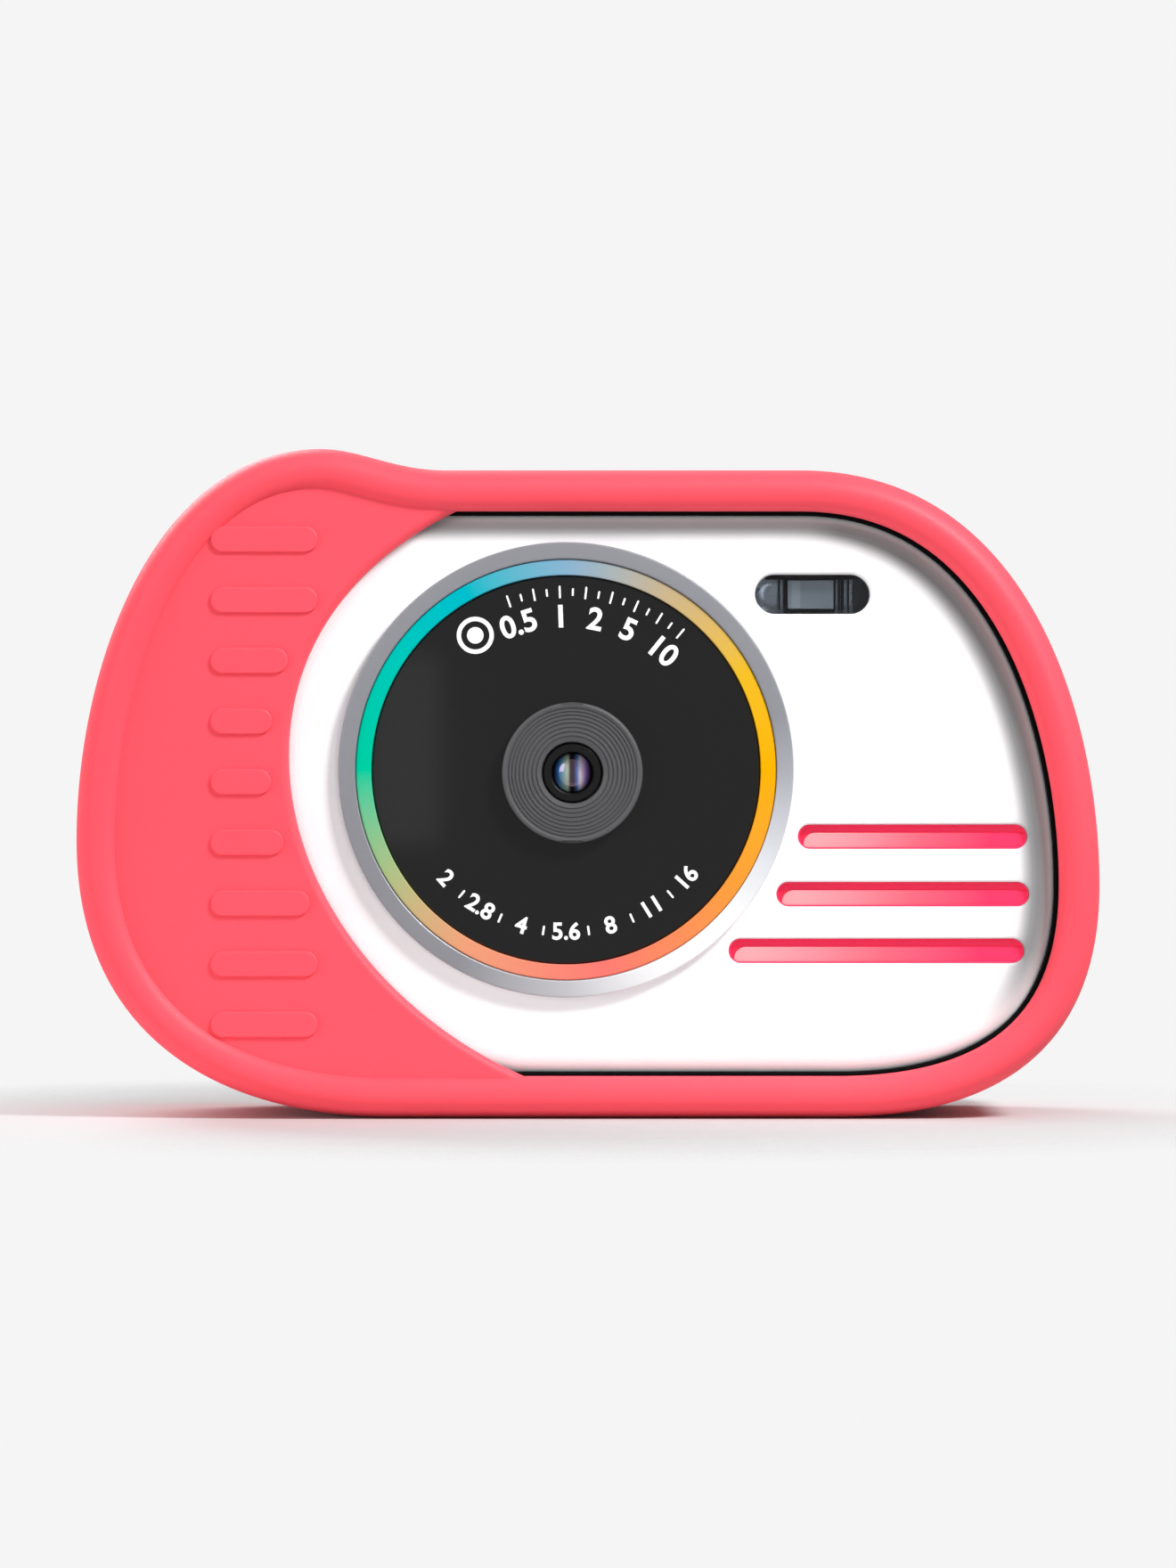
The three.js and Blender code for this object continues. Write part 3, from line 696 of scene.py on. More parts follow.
def top_cutter(at, radius, deep):
    rings = []
    for grow, depth in rim_steps(radius, deep):
        flat = circle(at["x"], at["y"], at["radius"] + 0.3 + grow, 72)
        rings.append(at_z(flat, top_z(flat[:, 0]) - depth))
    return loft("cutter", rings)


WALL_STEPS = 160  # round an opening, so that its long sides follow the curved wall


def side_cutter(shape, surface, outward, radius, deep):
    """A cutter into the left or right wall. shape(inset) is an outline in Y and Z."""
    rings = []
    for grow, depth in rim_steps(radius, deep):
        flat = evenly(shape(-grow), WALL_STEPS)
        rings.append(np.column_stack([surface(flat[:, 1]) - outward * depth, flat]))
    return loft("cutter", rings)


# ---- silicone sleeve
BEAD_CREST = (2.2, 15.0)  # inset, and distance from the middle of the camera's depth
BEAD_OUTER_RISE = 3.6
BEAD_INNER = (2.1, 1.5)  # width and drop from the crest towards the opening


def bead(side):
    """Half of the sleeve's section: from the side wall over the rolled rim to the lip's underside."""
    crest, top = BEAD_CREST
    width, drop = BEAD_INNER
    turn = quarter(9)
    outer = [(crest * u, top - BEAD_OUTER_RISE * v) for u, v in turn]
    inner = [(crest + width * (1 - v), top - drop * u) for u, v in turn[1:]]
    under = [(4.3, 13.0), (4.2, 12.9), (2.4, 12.9)]
    return [(inset, side * y) for inset, y in outer + inner + under]


FLAP_EDGE_STEPS = 40


def open_face():
    """The part of the face that the grip flap leaves open, anticlockwise."""
    t = np.linspace(0, 1, FLAP_EDGE_STEPS)
    upper = cubic([(-13.05, 62.3), (-22.9, 57.65), (-30.6, 49.3), (-30.6, 37.05)], t)
    lower = cubic([(-30.6, 37.05), (-30.6, 23.3), (-20.4, 10), (-5.5, 3.84)], t)
    far = np.array([(60, -20), (60, 90), (12, 90)])
    return np.vstack([upper, lower[1:], far])


OPEN_FACE = open_face()


def flap_edge_x(z):
    """X of the flap's curved edge at that height."""
    edge = OPEN_FACE[:2 * FLAP_EDGE_STEPS - 1]
    order = np.argsort(edge[:, 1])
    return float(np.interp(z, edge[order, 1], edge[order, 0]))


def grip_flap():
    """The flap lies over the plate, and its free edge is round."""
    panel = plate("flap", outline, [(3.3, -12.9), (3.3, FLAP_Y)])
    radius = 0.9
    edge = [(radius * v, radius * u) for u, v in quarter(7)]
    steps = [(radius, -1.0)] + edge + [(0, 3.0)]
    rings = [at_y(grown(OPEN_FACE, grow), FLAP_Y + depth) for grow, depth in steps]
    return carve(panel, loft("cutter", rings))


PADS = {"count": 9, "left": -38.6, "right": -27.6, "lowest": 9.6, "pitch": 6.2, "height": 2.7, "rise": 0.3}
PAD_MARGIN = 1.9  # between a pad and the flap's edge


def grip_pads():
    """A column of raised rounded bars on the flap."""
    profile = [(0, FLAP_Y + 0.2), (0, FLAP_Y - 0.1)] + rounded(0, FLAP_Y - PADS["rise"], 0.2, 4)[1:]
    pads = []
    for i in range(PADS["count"]):
        z = PADS["lowest"] + i * PADS["pitch"]
        right = min(PADS["right"], flap_edge_x(z) - PAD_MARGIN)
        length = right - PADS["left"]
        shape = pill_shape(PADS["left"] + length / 2, z, length, PADS["height"], 10)
        pads.append(plate("pad", shape, profile))
    return pads


DOOR_SKIN = 1.4  # from the sleeve's surface in to the door's
DOOR_OPENING = (6.35, DOOR["z"], 11.1, 26.6, 1.4)  # centre, width, height and corner, seen from the right
STRAP_OPENING = (STRAP["y"], STRAP["z"], 8.6, 12.4, 3.2)


def door_ledge(z0, z1):
    """Fills a corner of the door's opening, beside the hinge and nearly level with the door."""
    shape = tablet_shape(10.5, (z0 + z1) / 2, 3.0, z1 - z0, 0.7)
    rings = [at_x(evenly(shape(0), 48), 46.7)]
    for inset, depth in ((0, 0.4), (0.1, 0.2), (0.3, 0.1)):
        rings.append(on_right_side(evenly(shape(inset), 48), DOOR_SKIN + depth))
    return loft("ledge", rings)


def sleeve():
    section = bead(-1) + bead(1)[::-1]
    shell = plate("shell", outline, section, wrap=True)
    carve(
        shell,
        top_cutter(SHUTTER, 0.5, 5),
        top_cutter(POWER, 0.4, 5),
        side_cutter(tablet_shape(*DOOR_OPENING), right_x, 1, 0.5, 8),
        side_cutter(tablet_shape(*STRAP_OPENING), left_x, -1, 0.7, 8),
    )
    ledges = [door_ledge(12.2, 16.9), door_ledge(34.1, 38.8)]
    whole = merged("silicone_skin", shell, grip_flap(), *grip_pads(), *ledges)
    piece(whole, SILICONE, "silicone", "silicone_sleeve")


# ---- covers
# The painted shade on the front plate's rim, in place of the shadow of the sleeve's lip: how deep it is at
# each distance inwards from the silhouette, how much of it there is where the rim faces right and where it
# faces up, and its width where it faces up.
RIM_PAINTED_SHADE = [
    (4.8, 0.15), (5.2, 0.45), (5.6, 0.82), (6.7, 1.0), (7.4, 0.72), (7.8, 0.5), (8.1, 0.27), (8.8, 0),
]
RIM_PAINTED_SHADE_TOWARDS = (1.25, 0.8)
RIM_PAINTED_SHADE_NARROWEST = 0.68


def store_rim_painted_shade(mesh):
    """Gives each point of the front plate 1, or less close to the upper right rim, where a painted shade
    stands in for the lip's shadow.
    """
    places = np.array([v.co[:] for v in mesh.vertices])[:, [0, 2]] / MM
    gaps = np.linalg.norm(places[:, None] - EDGE[None], axis=2)
    outward = -INWARD[gaps.argmin(1)]
    strength = np.clip(outward @ np.array(RIM_PAINTED_SHADE_TOWARDS), 0, 1)
    width = RIM_PAINTED_SHADE_NARROWEST + (1 - RIM_PAINTED_SHADE_NARROWEST) * np.clip(outward[:, 0], 0, 1)
    distance, grey = np.array(RIM_PAINTED_SHADE).T
    depth = np.interp(distance[0] + (gaps.min(1) - distance[0]) / width, distance, grey)
    layer = mesh.attributes.new("rim_painted_shade", "FLOAT", "POINT")
    layer.data.foreach_set("value", 1 - strength * depth)


def flash_shape(longer=0, higher=0):
    """The flash's opening, or a pill that is larger than it."""
    return pill_shape(FLASH["x"], FLASH["z"], FLASH["length"] + longer, FLASH["height"] + higher)


def slot_shape(left, right, z):
    return pill_shape((left + right) / 2, z, right - left, SLOT_HEIGHT)


def screen_shape(width, height, corner):
    return tablet_shape(SCREEN["x"], SCREEN["z"], width, height, corner)


def front_cover():
    profile = [
        (INNER_INSET, -10.8), (INNER_INSET, -PARTING), (BODY_INSET, -PARTING),
        (BODY_INSET, SHOULDER_Y), (PLATE_INSET, SHOULDER_Y),
    ]
    roll = [(PLATE_INSET + PLATE_ROLL * u, FACE_Y + (SHOULDER_Y - FACE_Y) * v) for u, v in quarter(8)]
    face = [(inset, FACE_Y) for inset in (7.3, 7.7, 8.1, 8.5, 9.0, 10.0)]
    shell = plate("white_front", outline, profile + roll[1:] + face)
    lens = round_shape(*RING_CENTRE, RING_RADIUS - 0.7, 96)
    cutters = [face_cutter(flash_shape(), FACE_Y, 0.35, 3), face_cutter(lens, FACE_Y, 0.1, 3)]
    for slot in SLOTS:
        cutters.append(face_cutter(slot_shape(*slot), FACE_Y, 0.25, 3))
    carve(shell, *cutters)
    # Stores each point's share of the painted shade beside the rim.
    store_rim_painted_shade(shell.data)
    piece(shell, WHITE_FRONT, "white_cover", "front_cover")


def rear_cover():
    profile = [
        (INNER_INSET, 10.8), (INNER_INSET, PARTING), (BODY_INSET, PARTING),
        (BODY_INSET, BACK_Y - 0.4), (BODY_INSET + 0.4, BACK_Y),
    ]
    shell = plate("white_rear", outline, profile)
    door_block = block("door_block", 44.6, 48.4, PARTING + 0.1, 11.3, 10.8, 40.2)
    strap_block = block("strap_block", -48.6, -42.7, PARTING + 0.1, 11.3, STRAP["z"] - 8, STRAP["z"] + 8)
    carve(shell, door_block, strap_block, operation="UNION")
    gap = 0.3
    recess = screen_shape(SCREEN["width"] + 2 * gap, SCREEN["height"] + 2 * gap, 4.3)
    display = screen_shape(41, 31, 2)
    cutters = [face_cutter(recess, BACK_Y, 0.3, 1.0, 1), plate("cutter", display, [(0, 20), (0, 5)])]
    for x, z, radius in KEYS.values():
        cutters.append(face_cutter(round_shape(x, z, radius + gap), BACK_Y, 0.3, 6, 1))
    for k in range(-2, 3):
        hole = round_shape(SPEAKER[0] + 1.8 * k, SPEAKER[1], 0.6, 28)
        cutters.append(face_cutter(hole, BACK_Y, 0.15, 6, 1))
    for at in SCREWS:
        cutters.append(face_cutter(round_shape(*at, 2.3, 40), BACK_Y, 0.25, 1.6, 1))
    cutters += [
        block("cutter", 46.6, 60, 0, 12, DOOR["low"] - gap, DOOR["high"] + gap, 0.8),
        block("cutter", 44, 60, 2.6, 7.2, 14.3, 36.5, 0.8),
        block("cutter", -60, -44.6, 2.2, 9.6, STRAP["z"] - 5, STRAP["z"] + 5, 1.6),
        top_cutter(SHUTTER, 0.1, 8),
        top_cutter(POWER, 0.1, 8),
    ]
    carve(shell, *cutters)
    parts = [shell]
    for z in (18.3, 32.7):
        parts.append(rod("lug", HINGE["x"], HINGE["y"], z - 1.2, z + 1.2, HINGE["knuckle"]))
        parts.append(block("neck", 46.2, 50, HINGE["y"] - 0.6, HINGE["y"] + 1.0, z - 1.1, z + 1.1))
    piece(merged("white_rear_cover", *parts), WHITE, "white_cover", "rear_cover")


def seal_line():
    """The black line between the sleeve's lip and the plate."""
    section = [
        (BODY_INSET, -11.7), (BODY_INSET, -12.7), (4.55, -12.7), (4.7, -12.55), (4.7, -11.45), (4.5, -11.7),
    ]
    piece(plate("seal_line", outline, section, wrap=True), SEAL, "seal", "face_seal")


# ---- lens surround
def lens_surround():
    ring = turned("silver_ring", [
        (COLOUR_RADIUS + 0.05, -13.5), (COLOUR_RADIUS + 0.1, -13.68), (COLOUR_RADIUS + 0.2, -13.74),
        (RING_RADIUS - 0.25, -13.68), (RING_RADIUS - 0.07, -13.6), (RING_RADIUS, -13.4),
        (RING_RADIUS, FACE_Y - 0.02), (RING_RADIUS - 1, FACE_Y - 0.02), (RING_RADIUS - 1, -10),
        (COLOUR_RADIUS + 0.05, -10),
    ], RING_CENTRE, 160, closed=True)
    piece(ring, SILVER, "silver_trim", "lens_ring")
    band = turned("rainbow_ring", [
        (WINDOW_RADIUS + 0.02, -13.5), (WINDOW_RADIUS + 0.1, -13.58), (COLOUR_RADIUS - 0.1, -13.58),
        (COLOUR_RADIUS, -13.5), (COLOUR_RADIUS, -11.6), (WINDOW_RADIUS + 0.02, -11.6),
    ], RING_CENTRE, 160, closed=True)
    piece(band, RAINBOW, "colour_print", "color_ring")
    disc = turned("black_window", [
        (0, WINDOW_Y), (WINDOW_RADIUS - 0.2, WINDOW_Y), (WINDOW_RADIUS - 0.05, WINDOW_Y + 0.12),
        (WINDOW_RADIUS - 0.05, -12.2), (0, -12.2),
    ], RING_CENTRE, 160)
    carve(disc, plate("cutter", round_shape(*LENS, 5.2), [(0, -20), (0, 0)]))
    piece(disc, BLACK_GLOSS, "lens_black", "lens_window")


GROOVE_RADII = [3.7, 4.15, 4.6, 5.05, 5.45, 5.85, 6.2, 6.55]
GROOVE = [(-0.1, -14.6), (-0.03, -14.5), (0.05, -14.5), (0.12, -14.61)]  # offset from its radius, and y


def bezel():
    """A turned ring with fine concentric grooves and two moulding notches."""
    profile = [(BEZEL_BORE, -14.2), (BEZEL_BORE + 0.12, -14.5)]
    for radius in GROOVE_RADII:
        profile += [(radius + offset, y) for offset, y in GROOVE]
    profile += [
        (BEZEL_RADIUS - 0.3, -14.68), (BEZEL_RADIUS - 0.08, -14.6), (BEZEL_RADIUS, -14.35),
        (BEZEL_RADIUS, -13.42), (4.9, -13.42), (4.9, -10), (BEZEL_BORE, -10),
    ]
    made = turned("grooved_bezel", profile, LENS, 128, closed=True)
    notches = []
    for side in (-1, 1):
        z = LENS[1] + side * (BEZEL_RADIUS + 0.02)
        notches.append(block("cutter", LENS[0] - 1.1, LENS[0] + 1.1, -20, -13.7, z - 0.3, z + 0.3, 0.1))
    carve(made, *notches)
    piece(made, BEZEL, "bezel_grey", "lens_bezel")


def barrel():
    """A stepped tube round the front lens, which is a shallow dome."""
    made = turned("lens_tube", [
        (2.15, -14.25), (2.3, -14.4), (2.85, -14.4), (3.0, -14.25), (3.0, -14.1), (2.8, -14.0), (2.8, -5.6),
        (1.6, -5.6), (1.6, -12.2), (2.05, -12.2), (2.05, -13.2), (2.15, -13.4),
    ], LENS, 96, closed=True)
    piece(made, BARREL, "barrel_black", "lens_barrel")
    dome = [(2.02 * math.sin(t), -12.85 - 0.85 * math.cos(t)) for t in np.linspace(0, math.pi / 2, 10)]
    front = turned("coated_lens", dome + [(2.02, -12.5), (0, -12.5)], LENS, 72)
    piece(front, LENS_GLASS, "lens_glass", "front_lens")


# ---- printed marks
PRINT_TOP_Y = WINDOW_Y - 0.012


def text_mesh(text, height):
    """A short text as a thin mesh, centred, in millimetres."""
    curve = bpy.data.curves.new("glyph", "FONT")
    curve.body = text
    curve.align_x = "CENTER"
    curve.align_y = "CENTER"
    curve.size = height * 1.38
    curve.extrude = 0.01
    curve.offset = 0.035 * height
    curve.resolution_u = 6
    holder = linked("glyph", curve)
    mesh = bpy.data.meshes.new_from_object(holder.evaluated_get(bpy.context.evaluated_depsgraph_get()))
    bpy.data.objects.remove(holder)
    return mesh


def stamped(mesh, x, z, y, turn):
    """Stands a flat mesh up against the front, turned anticlockwise."""
    stand = Matrix.Rotation(math.pi / 2, 4, "X")
    spin = Matrix.Rotation(-math.radians(turn), 4, "Y")
    mesh.transform(Matrix.Scale(MM, 4) @ Matrix.Translation(Vector((x, y, z))) @ spin @ stand)
    return linked("mark", mesh)


def on_window(radius, angle):
    a = math.radians(angle)
    return RING_CENTRE[0] + radius * math.cos(a), RING_CENTRE[1] + radius * math.sin(a)


def tick(radius, angle, length, width):
    x, z = on_window(radius, angle)
    shape = pill(0, 0, length, width, 6)
    a = math.radians(angle)
    spun = shape @ np.array([[math.cos(a), math.sin(a)], [-math.sin(a), math.cos(a)]])
    return flat_mark(spun + (x, z), WINDOW_Y + 0.02, PRINT_TOP_Y)


DISTANCES = {"0.5": 108, "1": 92, "2": 79, "5": 66, "10": 51}  # each with its angle on the window
APERTURES = ("2", "2.8", "4", "5.6", "8", "11", "16")
APERTURE_START = 222
APERTURE_STEP = 16
DISTANCE_RADIUS = 15.6
TICK_RADIUS = 18.2
APERTURE_RADIUS = 16.6


def printed_scales():
    """A distance scale with a target over the lens, and an aperture scale under it."""
    y = WINDOW_Y - 0.002
    marks = []
    for text, angle in DISTANCES.items():
        place = on_window(DISTANCE_RADIUS, angle)
        marks.append(stamped(text_mesh(text, 2.3), *place, y, angle - 90))
    for k in range(15):
        marks.append(tick(TICK_RADIUS, 50 + k * 4.2, 0.8 if k % 2 else 1.3, 0.2))
    for k, text in enumerate(APERTURES):
        angle = APERTURE_START + k * APERTURE_STEP
        place = on_window(APERTURE_RADIUS, angle)
        marks.append(stamped(text_mesh(text, 1.75), *place, y, angle + 90))
    for k in range(len(APERTURES) - 1):
        angle = APERTURE_START + (k + 0.5) * APERTURE_STEP
        marks.append(tick(APERTURE_RADIUS, angle, 1.0, 0.22))
    target = on_window(APERTURE_RADIUS, 124)
    for outer, inner in ((1.9, 1.45), (0.85, 0.0)):
        section = [(inner, y), (outer, y), (outer, WINDOW_Y + 0.01), (inner, WINDOW_Y + 0.01)]
        marks.append(turned("mark", section, target, 48, closed=inner > 0))
    piece(merged("window_print", *marks), PRINT, "lens_black")


# ---- flash
LAMP_Y = -10.95  # front of the lamp box
FLASH_BARS = [(-3.35, 0.14), (-2.7, 0.42), (2.35, 0.16), (2.8, 0.14), (3.15, 0.28), (3.75, 0.14)]
# The lower rail is a bar; the upper one, dark across the whole width, is a painted shadow of the top rim.
FLASH_RAIL_AND_PAINTED_SHADOW = [(-2.6, 2.3, -1.8, -1.5), (-5.2, 5.4, 1.55, 2.1)]  # left, right, bottom, top


def flash_box(name, left, right, front, back, low, high, corner):
    """A block placed from the middle of the flash."""
    x = FLASH["x"]
    z = FLASH["z"]
    return block(name, x + left, x + right, front, back, z + low, z + high, corner)


def flash():
    """A lamp box with a bright tube between dark bars and reflector wings, behind a clear pane. A dark band
    across the top is a painted shadow of the rim, and a dark sheet over the right end is painted shade.
    """
    bowl_profile = [(-0.8, -7.9), (-0.8, -10.7), (0, -10.7), (0.3, -10.5), (0.8, -10.3), (1.3, -10.2)]
    bowl = plate("flash_bowl", flash_shape(0.6, 0.5), bowl_profile)
    piece(bowl, REFLECTOR, "reflector", "flash_reflector")
    lamp = flash_box("flash_lamp_box", -2.5, 2.2, LAMP_Y, -9.5, -1.45, 1.45, 0.15)
    piece(lamp, LAMP, "led", "flash_led")
    tube = flash_box("flash_tube", -2.1, -1.2, LAMP_Y - 0.05, -10.8, -1.4, 1.4, 0.1)
    piece(tube, LAMP_BRIGHT, "led")
    bars = []
    for at, wide in FLASH_BARS:
        edges = (at - wide / 2, at + wide / 2)
        bars.append(flash_box("bar", *edges, LAMP_Y - 0.09, -10.2, -1.55, 1.55, 0.02))
    for left, right, low, high in FLASH_RAIL_AND_PAINTED_SHADOW:
        bars.append(flash_box("bar", left, right, LAMP_Y - 0.08, -10.2, low, high, 0.02))
    piece(merged("flash_bars_and_painted_shadow", *bars), LAMP_DARK, "led")
    # A dark sheet over the right end: painted shade.
    shade = plate("flash_end_painted_shade", flash_shape(0.3, 0.2), [(0, -10.4), (0, LAMP_Y)])
    carve(shade, flash_box("cutter", -9, 4.2, -20, 0, -5, 5, 0.3))
    piece(shade, FLASH_END_PAINTED_SHADE, "led")
    pane = plate("flash_pane", flash_shape(-0.1, -0.1), [(0, -11.1), (0, -11.6), (0.12, -11.72)])
    piece(pane, SMOKE, "flash_window", "flash_window")


# ---- slots
RAMP_SHIFT = (0.55, -0.85)


def slots():
    """Each slot is a red well with a ramp that stays clear of its upper left rim; the ramp is painted paler,
    as if lit.
    """
    trough_profile = [
        (0.02, -9.5), (0.02, FACE_Y + 0.32), (0.07, FACE_Y + 0.26), (0.14, FACE_Y + 0.32),
        (0.2, FACE_Y + 0.9),
    ]
    ramp_profile = [(0, FACE_Y + 1.0), (0, FACE_Y + 0.62), (0.08, FACE_Y + 0.55)]
    for n, (left, right, z) in enumerate(SLOTS, 1):
        well = slot_shape(left, right, z)
        trough = plate(f"slot_trough_{n}", well, trough_profile)
        piece(trough, RED, "slot_red", *(["slot_insert"] if n == 1 else []))
        lower = slot_shape(left + RAMP_SHIFT[0], right + RAMP_SHIFT[0], z + RAMP_SHIFT[1])
        ramp = plate(f"slot_ramp_{n}", lower, ramp_profile)
        carve(ramp, plate("cutter", well, [(0.15, -20), (0.15, 0)]), operation="INTERSECT")
        # The ramp's paler colour is painted light.
        piece(ramp, SLOT_PAINTED_LIGHT, "slot_red")


# ---- buttons on the top edge
def top_button(name, at, body, node, dish):
    """A cap that follows the top edge, with a round rim and a shallow dish."""
    radius = at["radius"]
    steps = 72
    stem = [(radius + 1, 6.6), (radius + 1, 5.6), (radius, 5.6)]
    rim = [(radius, 0.9), (radius - 0.1, 0.6), (radius - 0.3, 0.42), (radius - 0.7, 0.35)]
    rings = []
    for r, depth in stem:
        flat = circle(at["x"], at["y"], r, steps)
        rings.append(at_z(flat, top_z(at["x"]) - depth))
    for r, depth in rim:
        flat = circle(at["x"], at["y"], r, steps)
        rings.append(at_z(flat, top_z(flat[:, 0]) - depth))
    inner_radius, inner_depth = rim[-1]
    for share in np.linspace(0.9, 0.02, 9):
        flat = circle(at["x"], at["y"], inner_radius * share, steps)
        depth = inner_depth + dish * (1 - share * share)
        rings.append(at_z(flat, top_z(flat[:, 0]) - depth))
    piece(loft(name, rings), KEY_CORAL, "key_coral", node, body=body)


# ---- screen and keys
def screen():
    """A glossy pane with the display's area showing as a slightly lighter field."""
    face = screen_shape(SCREEN["width"], SCREEN["height"], 4)
    pane = plate("screen_pane", face, [(0, 11.9), (0, 12.6)] + rounded(0, 12.8, 0.2, 4, 1)[1:])
    piece(pane, SCREEN_BLACK, "screen_black", "screen_window")
    area = screen_shape(40.8, 30.6, 0.6)
    piece(plate("screen_area", area, [(0, 12.7), (0, 12.806)]), DISPLAY, "lcd")


def key_marks(name, x, z):
    """Plain pictograms: a ring, arrow heads, three lines and a play triangle."""
    low = KEY_TOP_Y - 0.05
    high = KEY_TOP_Y + 0.012
    if name == "ok":
        section = [(1.35, low), (1.75, low), (1.75, high), (1.35, high)]
        return [turned("mark", section, (x, z), 64, closed=True)]
    if name == "menu":
        return [flat_mark(pill(x, z + k * 0.85, 2.6, 0.34, 6), low, high) for k in (-1, 0, 1)]
    angle = {"up": 90, "down": 270, "left": 0, "right": 180, "playback": 180}[name]
    return [flat_mark(arc(x, z, 1.25, angle, angle + 240, 3), low, high)]


def keys():
    """Round caps with soft edges and a flange under the cover."""
    soft = 0.55
    flange = 0.6
    for name, (x, z, radius) in KEYS.items():
        rim = [(radius - soft * v, KEY_TOP_Y - soft * u) for u, v in quarter(6)]
        crown = [(0, KEY_TOP_Y)] + rim
        profile = crown + [(radius, 10.5), (radius + flange, 10.5), (radius + flange, 9.6), (0, 9.6)]
        finish, slot = (KEY_CORAL, "key_coral") if name == "ok" else (KEY_WHITE, "key_white")
        cap = turned(f"{name}_key_cap", profile, (x, z), 64)
        piece(cap, finish, slot, f"{name}_button", body=f"{name}_key")
        marks = merged(f"{name}_key_mark", *key_marks(name, x, z))
        piece(marks, PRINT if name == "ok" else KEY_PRINT, slot, body=f"{name}_key")


# ---- port door, strap bar, screws
def door_grip():
    """Three small raised bars near the door's free edge."""
    bars = []
    for k in (-1, 0, 1):
        shape = tablet_shape(2.6, DOOR["z"] + 3 * k, 0.9, 2.2, 0.44)
        steps = [(0, 0.1), (0, -0.1), (0.15, -0.25)]
        bars.append(loft("grip", [on_right_side(shape(inset), DOOR_SKIN + depth) for inset, depth in steps]))
    return bars


def port_door():
    """A panel that follows the curved side, with its knuckle between the cover's lugs."""
    middle = (DOOR["front"] + DOOR["back"]) / 2
    wide = DOOR["back"] - DOOR["front"]
    tall = DOOR["high"] - DOOR["low"]
    corner = 1.3

    def outline_at(inset):
        points = tablet(middle, DOOR["z"], wide - 2 * inset, tall - 2 * inset, max(corner - inset, 0.05), 7)
        return evenly(points, WALL_STEPS)

    rings = [at_x(outline_at(0.1), 47.9), at_x(outline_at(0), 47.95)]
    rim = [(0, 0.5), (0.06, 0.25), (0.22, 0.07), (0.5, 0)]
    surface = [(inset, 0) for inset in (1.0, 1.6, 2.2, 2.8, 3.4, 3.6)]
    for inset, depth in rim + surface:
        rings.append(on_right_side(outline_at(inset), DOOR_SKIN + depth))
    panel = loft("panel", rings)
    grip = door_grip()
    knuckle = rod("knuckle", HINGE["x"], HINGE["y"], 19.9, 31.1, HINGE["knuckle"])
    web = block("web", 49.1, 50.6, 8.0, 9.9, 20, 31)
    piece(merged("port_flap", panel, knuckle, web, *grip), SILICONE, "silicone", "port_door", body="door")


def strap_bar():
    reach = 6.6
    ends = (STRAP["z"] - reach, STRAP["z"] + reach)
    bar = rod("strap_pin", STRAP["x"], STRAP["y"], *ends, STRAP["pin"], 0.1, 48)
    piece(bar, STEEL, "steel", "strap_bar")


def screws():
    """Pan heads with a cross recess."""
    head = [(0, 12.0), (0.9, 11.98), (1.5, 11.85), (1.85, 11.6), (1.98, 11.2), (1.98, 10.9)]
    shank = [(1, 10.9), (1, -7), (0, -7)]
    arms = ((0.28, 1.3), (1.3, 0.28))
    for n, (x, z) in enumerate(SCREWS, 1):
        screw = turned(f"screw_{n}", head + shank, (x, z), 48)
        carve(screw, *[block("cutter", x - a, x + a, 11.2, 14, z - b, z + b, 0.1) for a, b in arms])
        piece(screw, STEEL, "steel", f"housing_screw_{n}")


def port_contacts():
    """The tongue of the USB socket and its contacts."""
    tongue = block("usb_tongue", 38.6, 44.6, 4.85, 5.4, 16.6, 22.2, 0.1)
    piece(tongue, CHIP, "chip")
    contacts = []
    for k in range(6):
        low = 17.3 + k * 0.85
        contacts.append(block("contact", 42.4, 44.5, 4.82, 5.43, low, low + 0.35, 0.05))
    piece(merged("usb_contacts", *contacts), GOLD, "steel")


# ---- stage
def camera():
    """Straight from the front, far enough to look almost flat."""
    lens = 135.0
    sensor = 36.0
    seen_width = sensor * 1320 / 1760
    share = 0.8697  # of the picture's width that the object takes
    body_width = (cad_bounds[1][0] - cad_bounds[0][0]) / MM
    distance = body_width * lens / (share * seen_width)
    data = bpy.data.cameras.new("view")
    data.lens = lens
    data.sensor_width = sensor
    data.clip_end = 10
    holder = linked("view", data)
    holder.location = (0, (SHOULDER_Y - distance) * MM, 34.2 * MM)
    holder.rotation_euler = (math.pi / 2, 0, 0)
    bpy.context.scene.camera = holder


def area_light(name, place, target, size, watts, mirrored=True):
    """A soft lamp. Without mirrored it lights the object but leaves no reflection of itself."""
    data = bpy.data.lights.new(name, "AREA")
    data.shape = "RECTANGLE"
    data.size = size[0] * MM
    data.size_y = size[1] * MM
    data.energy = watts
    holder = linked(name, data)
    place = Vector(place) * MM
    holder.location = place
    holder.visible_glossy = mirrored
    holder.rotation_euler = (Vector(target) * MM - place).to_track_quat("-Z", "Y").to_euler()


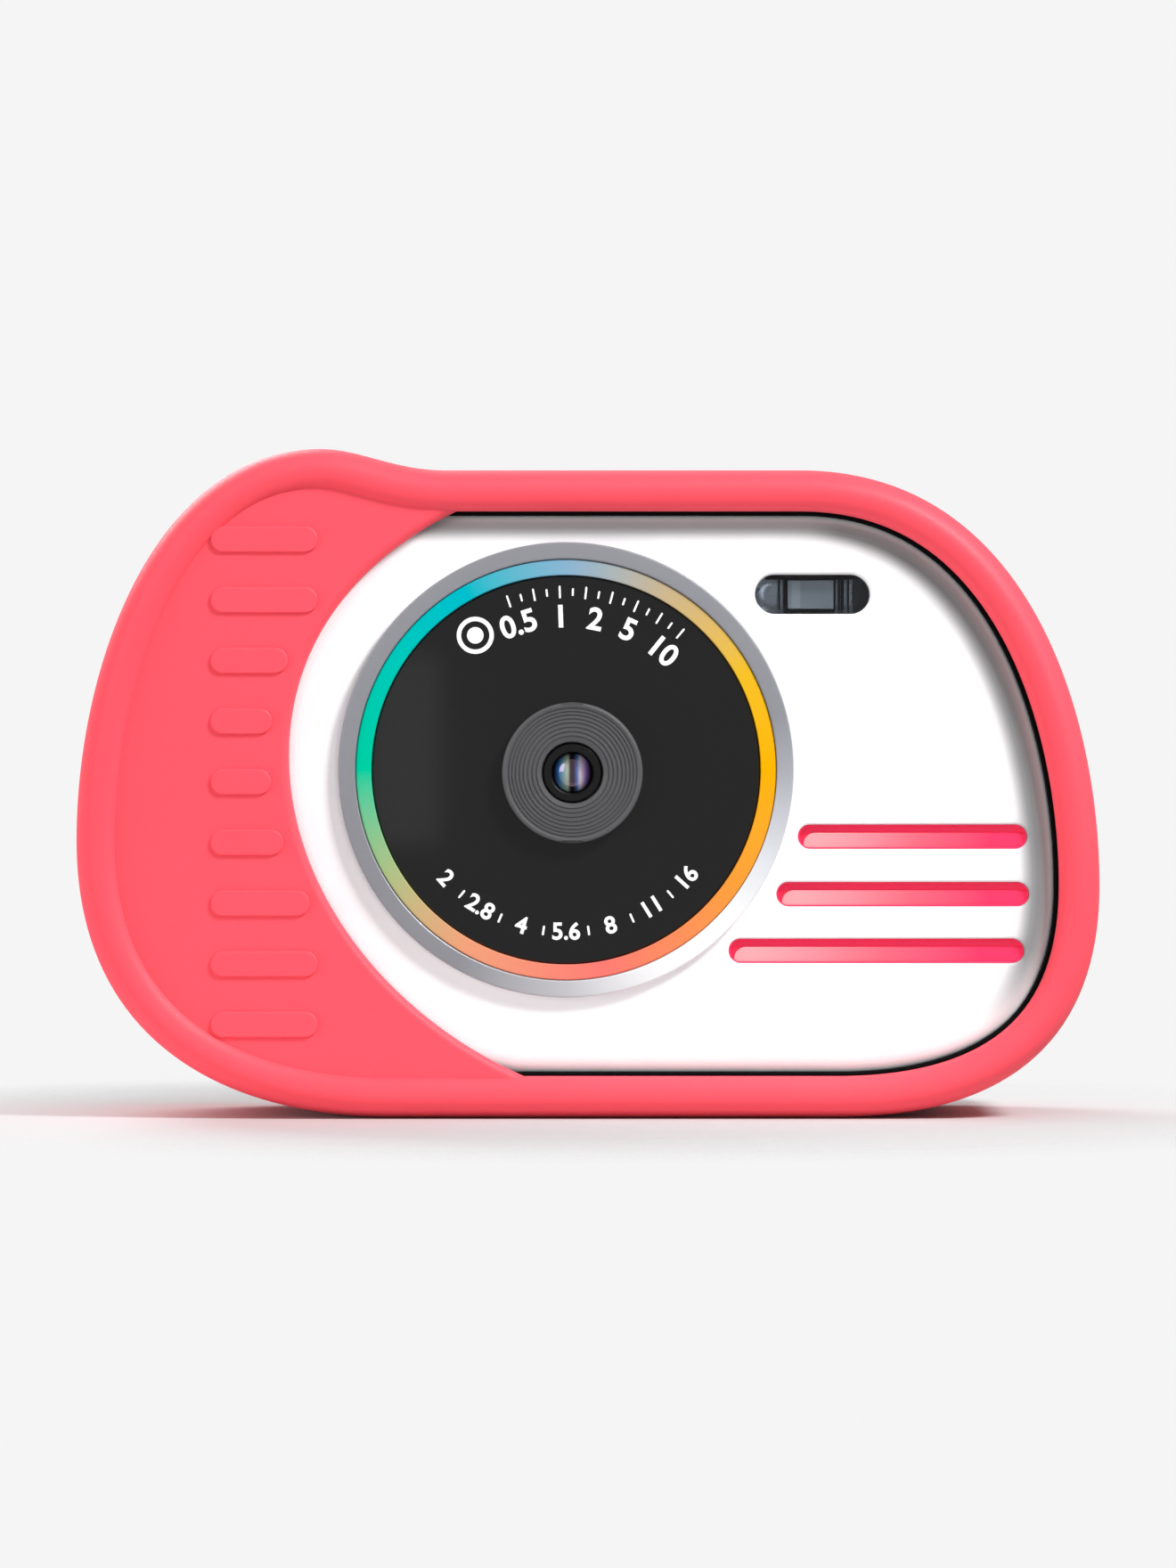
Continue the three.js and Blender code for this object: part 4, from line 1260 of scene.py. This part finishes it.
def lights():
    middle = (0, -10, 34)
    area_light("key", (310, -245, 410), middle, (120, 120), 3.3)
    area_light("front_fill", (-330, -470, 190), middle, (240, 240), 0.46)
    area_light("left_side", (-500, -110, -20), middle, (300, 300), 1.7, mirrored=False)
    area_light("low_fill", (190, -540, 0), (0, -10, 5), (200, 100), 0.45, mirrored=False)
    area_light("reflected_card", (-36, -560, 41), (-36, 0, 41), (14, 37), 0.0006)
    area_light("behind", (-220, 380, 330), middle, (340, 240), 2.0)


def world():
    """Pale surroundings: an exact backdrop for the eye, and a softer light for the object."""
    made = bpy.data.worlds.new("studio")
    made.use_nodes = True
    nodes = made.node_tree.nodes
    links = made.node_tree.links
    nodes.clear()
    seen = nodes.new("ShaderNodeBackground")
    seen.inputs["Color"].default_value = linear((245, 245, 245))
    lit = nodes.new("ShaderNodeBackground")
    lit.inputs["Color"].default_value = (1, 1, 1, 1)
    lit.inputs["Strength"].default_value = 0.34
    path = nodes.new("ShaderNodeLightPath")
    mix = nodes.new("ShaderNodeMixShader")
    out = nodes.new("ShaderNodeOutputWorld")
    links.new(path.outputs["Is Camera Ray"], mix.inputs[0])
    links.new(lit.outputs[0], mix.inputs[1])
    links.new(seen.outputs[0], mix.inputs[2])
    links.new(mix.outputs[0], out.inputs["Surface"])
    bpy.context.scene.world = made


def floor():
    """A pale disc that fades out, so that the object stands on the backdrop without a horizon."""
    steps = 96
    rim = circle(0, 0, 90, steps)
    disc = new_object("floor", at_z(rim, -0.05), [tuple(range(steps))])
    made = Finish("floor_pale", (200, 200, 201), 0.8, mottle=0.0)
    reach = made.node("VectorMath")
    reach.operation = "LENGTH"
    made.wire(made.place, reach.inputs[0])
    fade = made.spread(reach.outputs["Value"], 1, 0, 44 * MM, 86 * MM)
    made.wire(fade, made.shader.inputs["Alpha"])
    disc.data.materials.append(made.material)


# ---- build
camera()
world()
lights()
floor()
dress_inner_nodes()
sleeve()
front_cover()
rear_cover()
seal_line()
lens_surround()
bezel()
barrel()
printed_scales()
flash()
slots()
top_button("shutter_cap", SHUTTER, "shutter", "shutter_button", 0.5)
top_button("power_cap", POWER, "power", "power_button", 0.2)
screen()
keys()
port_door()
strap_bar()
screws()
port_contacts()
bpy.context.scene.view_settings.view_transform = "Standard"
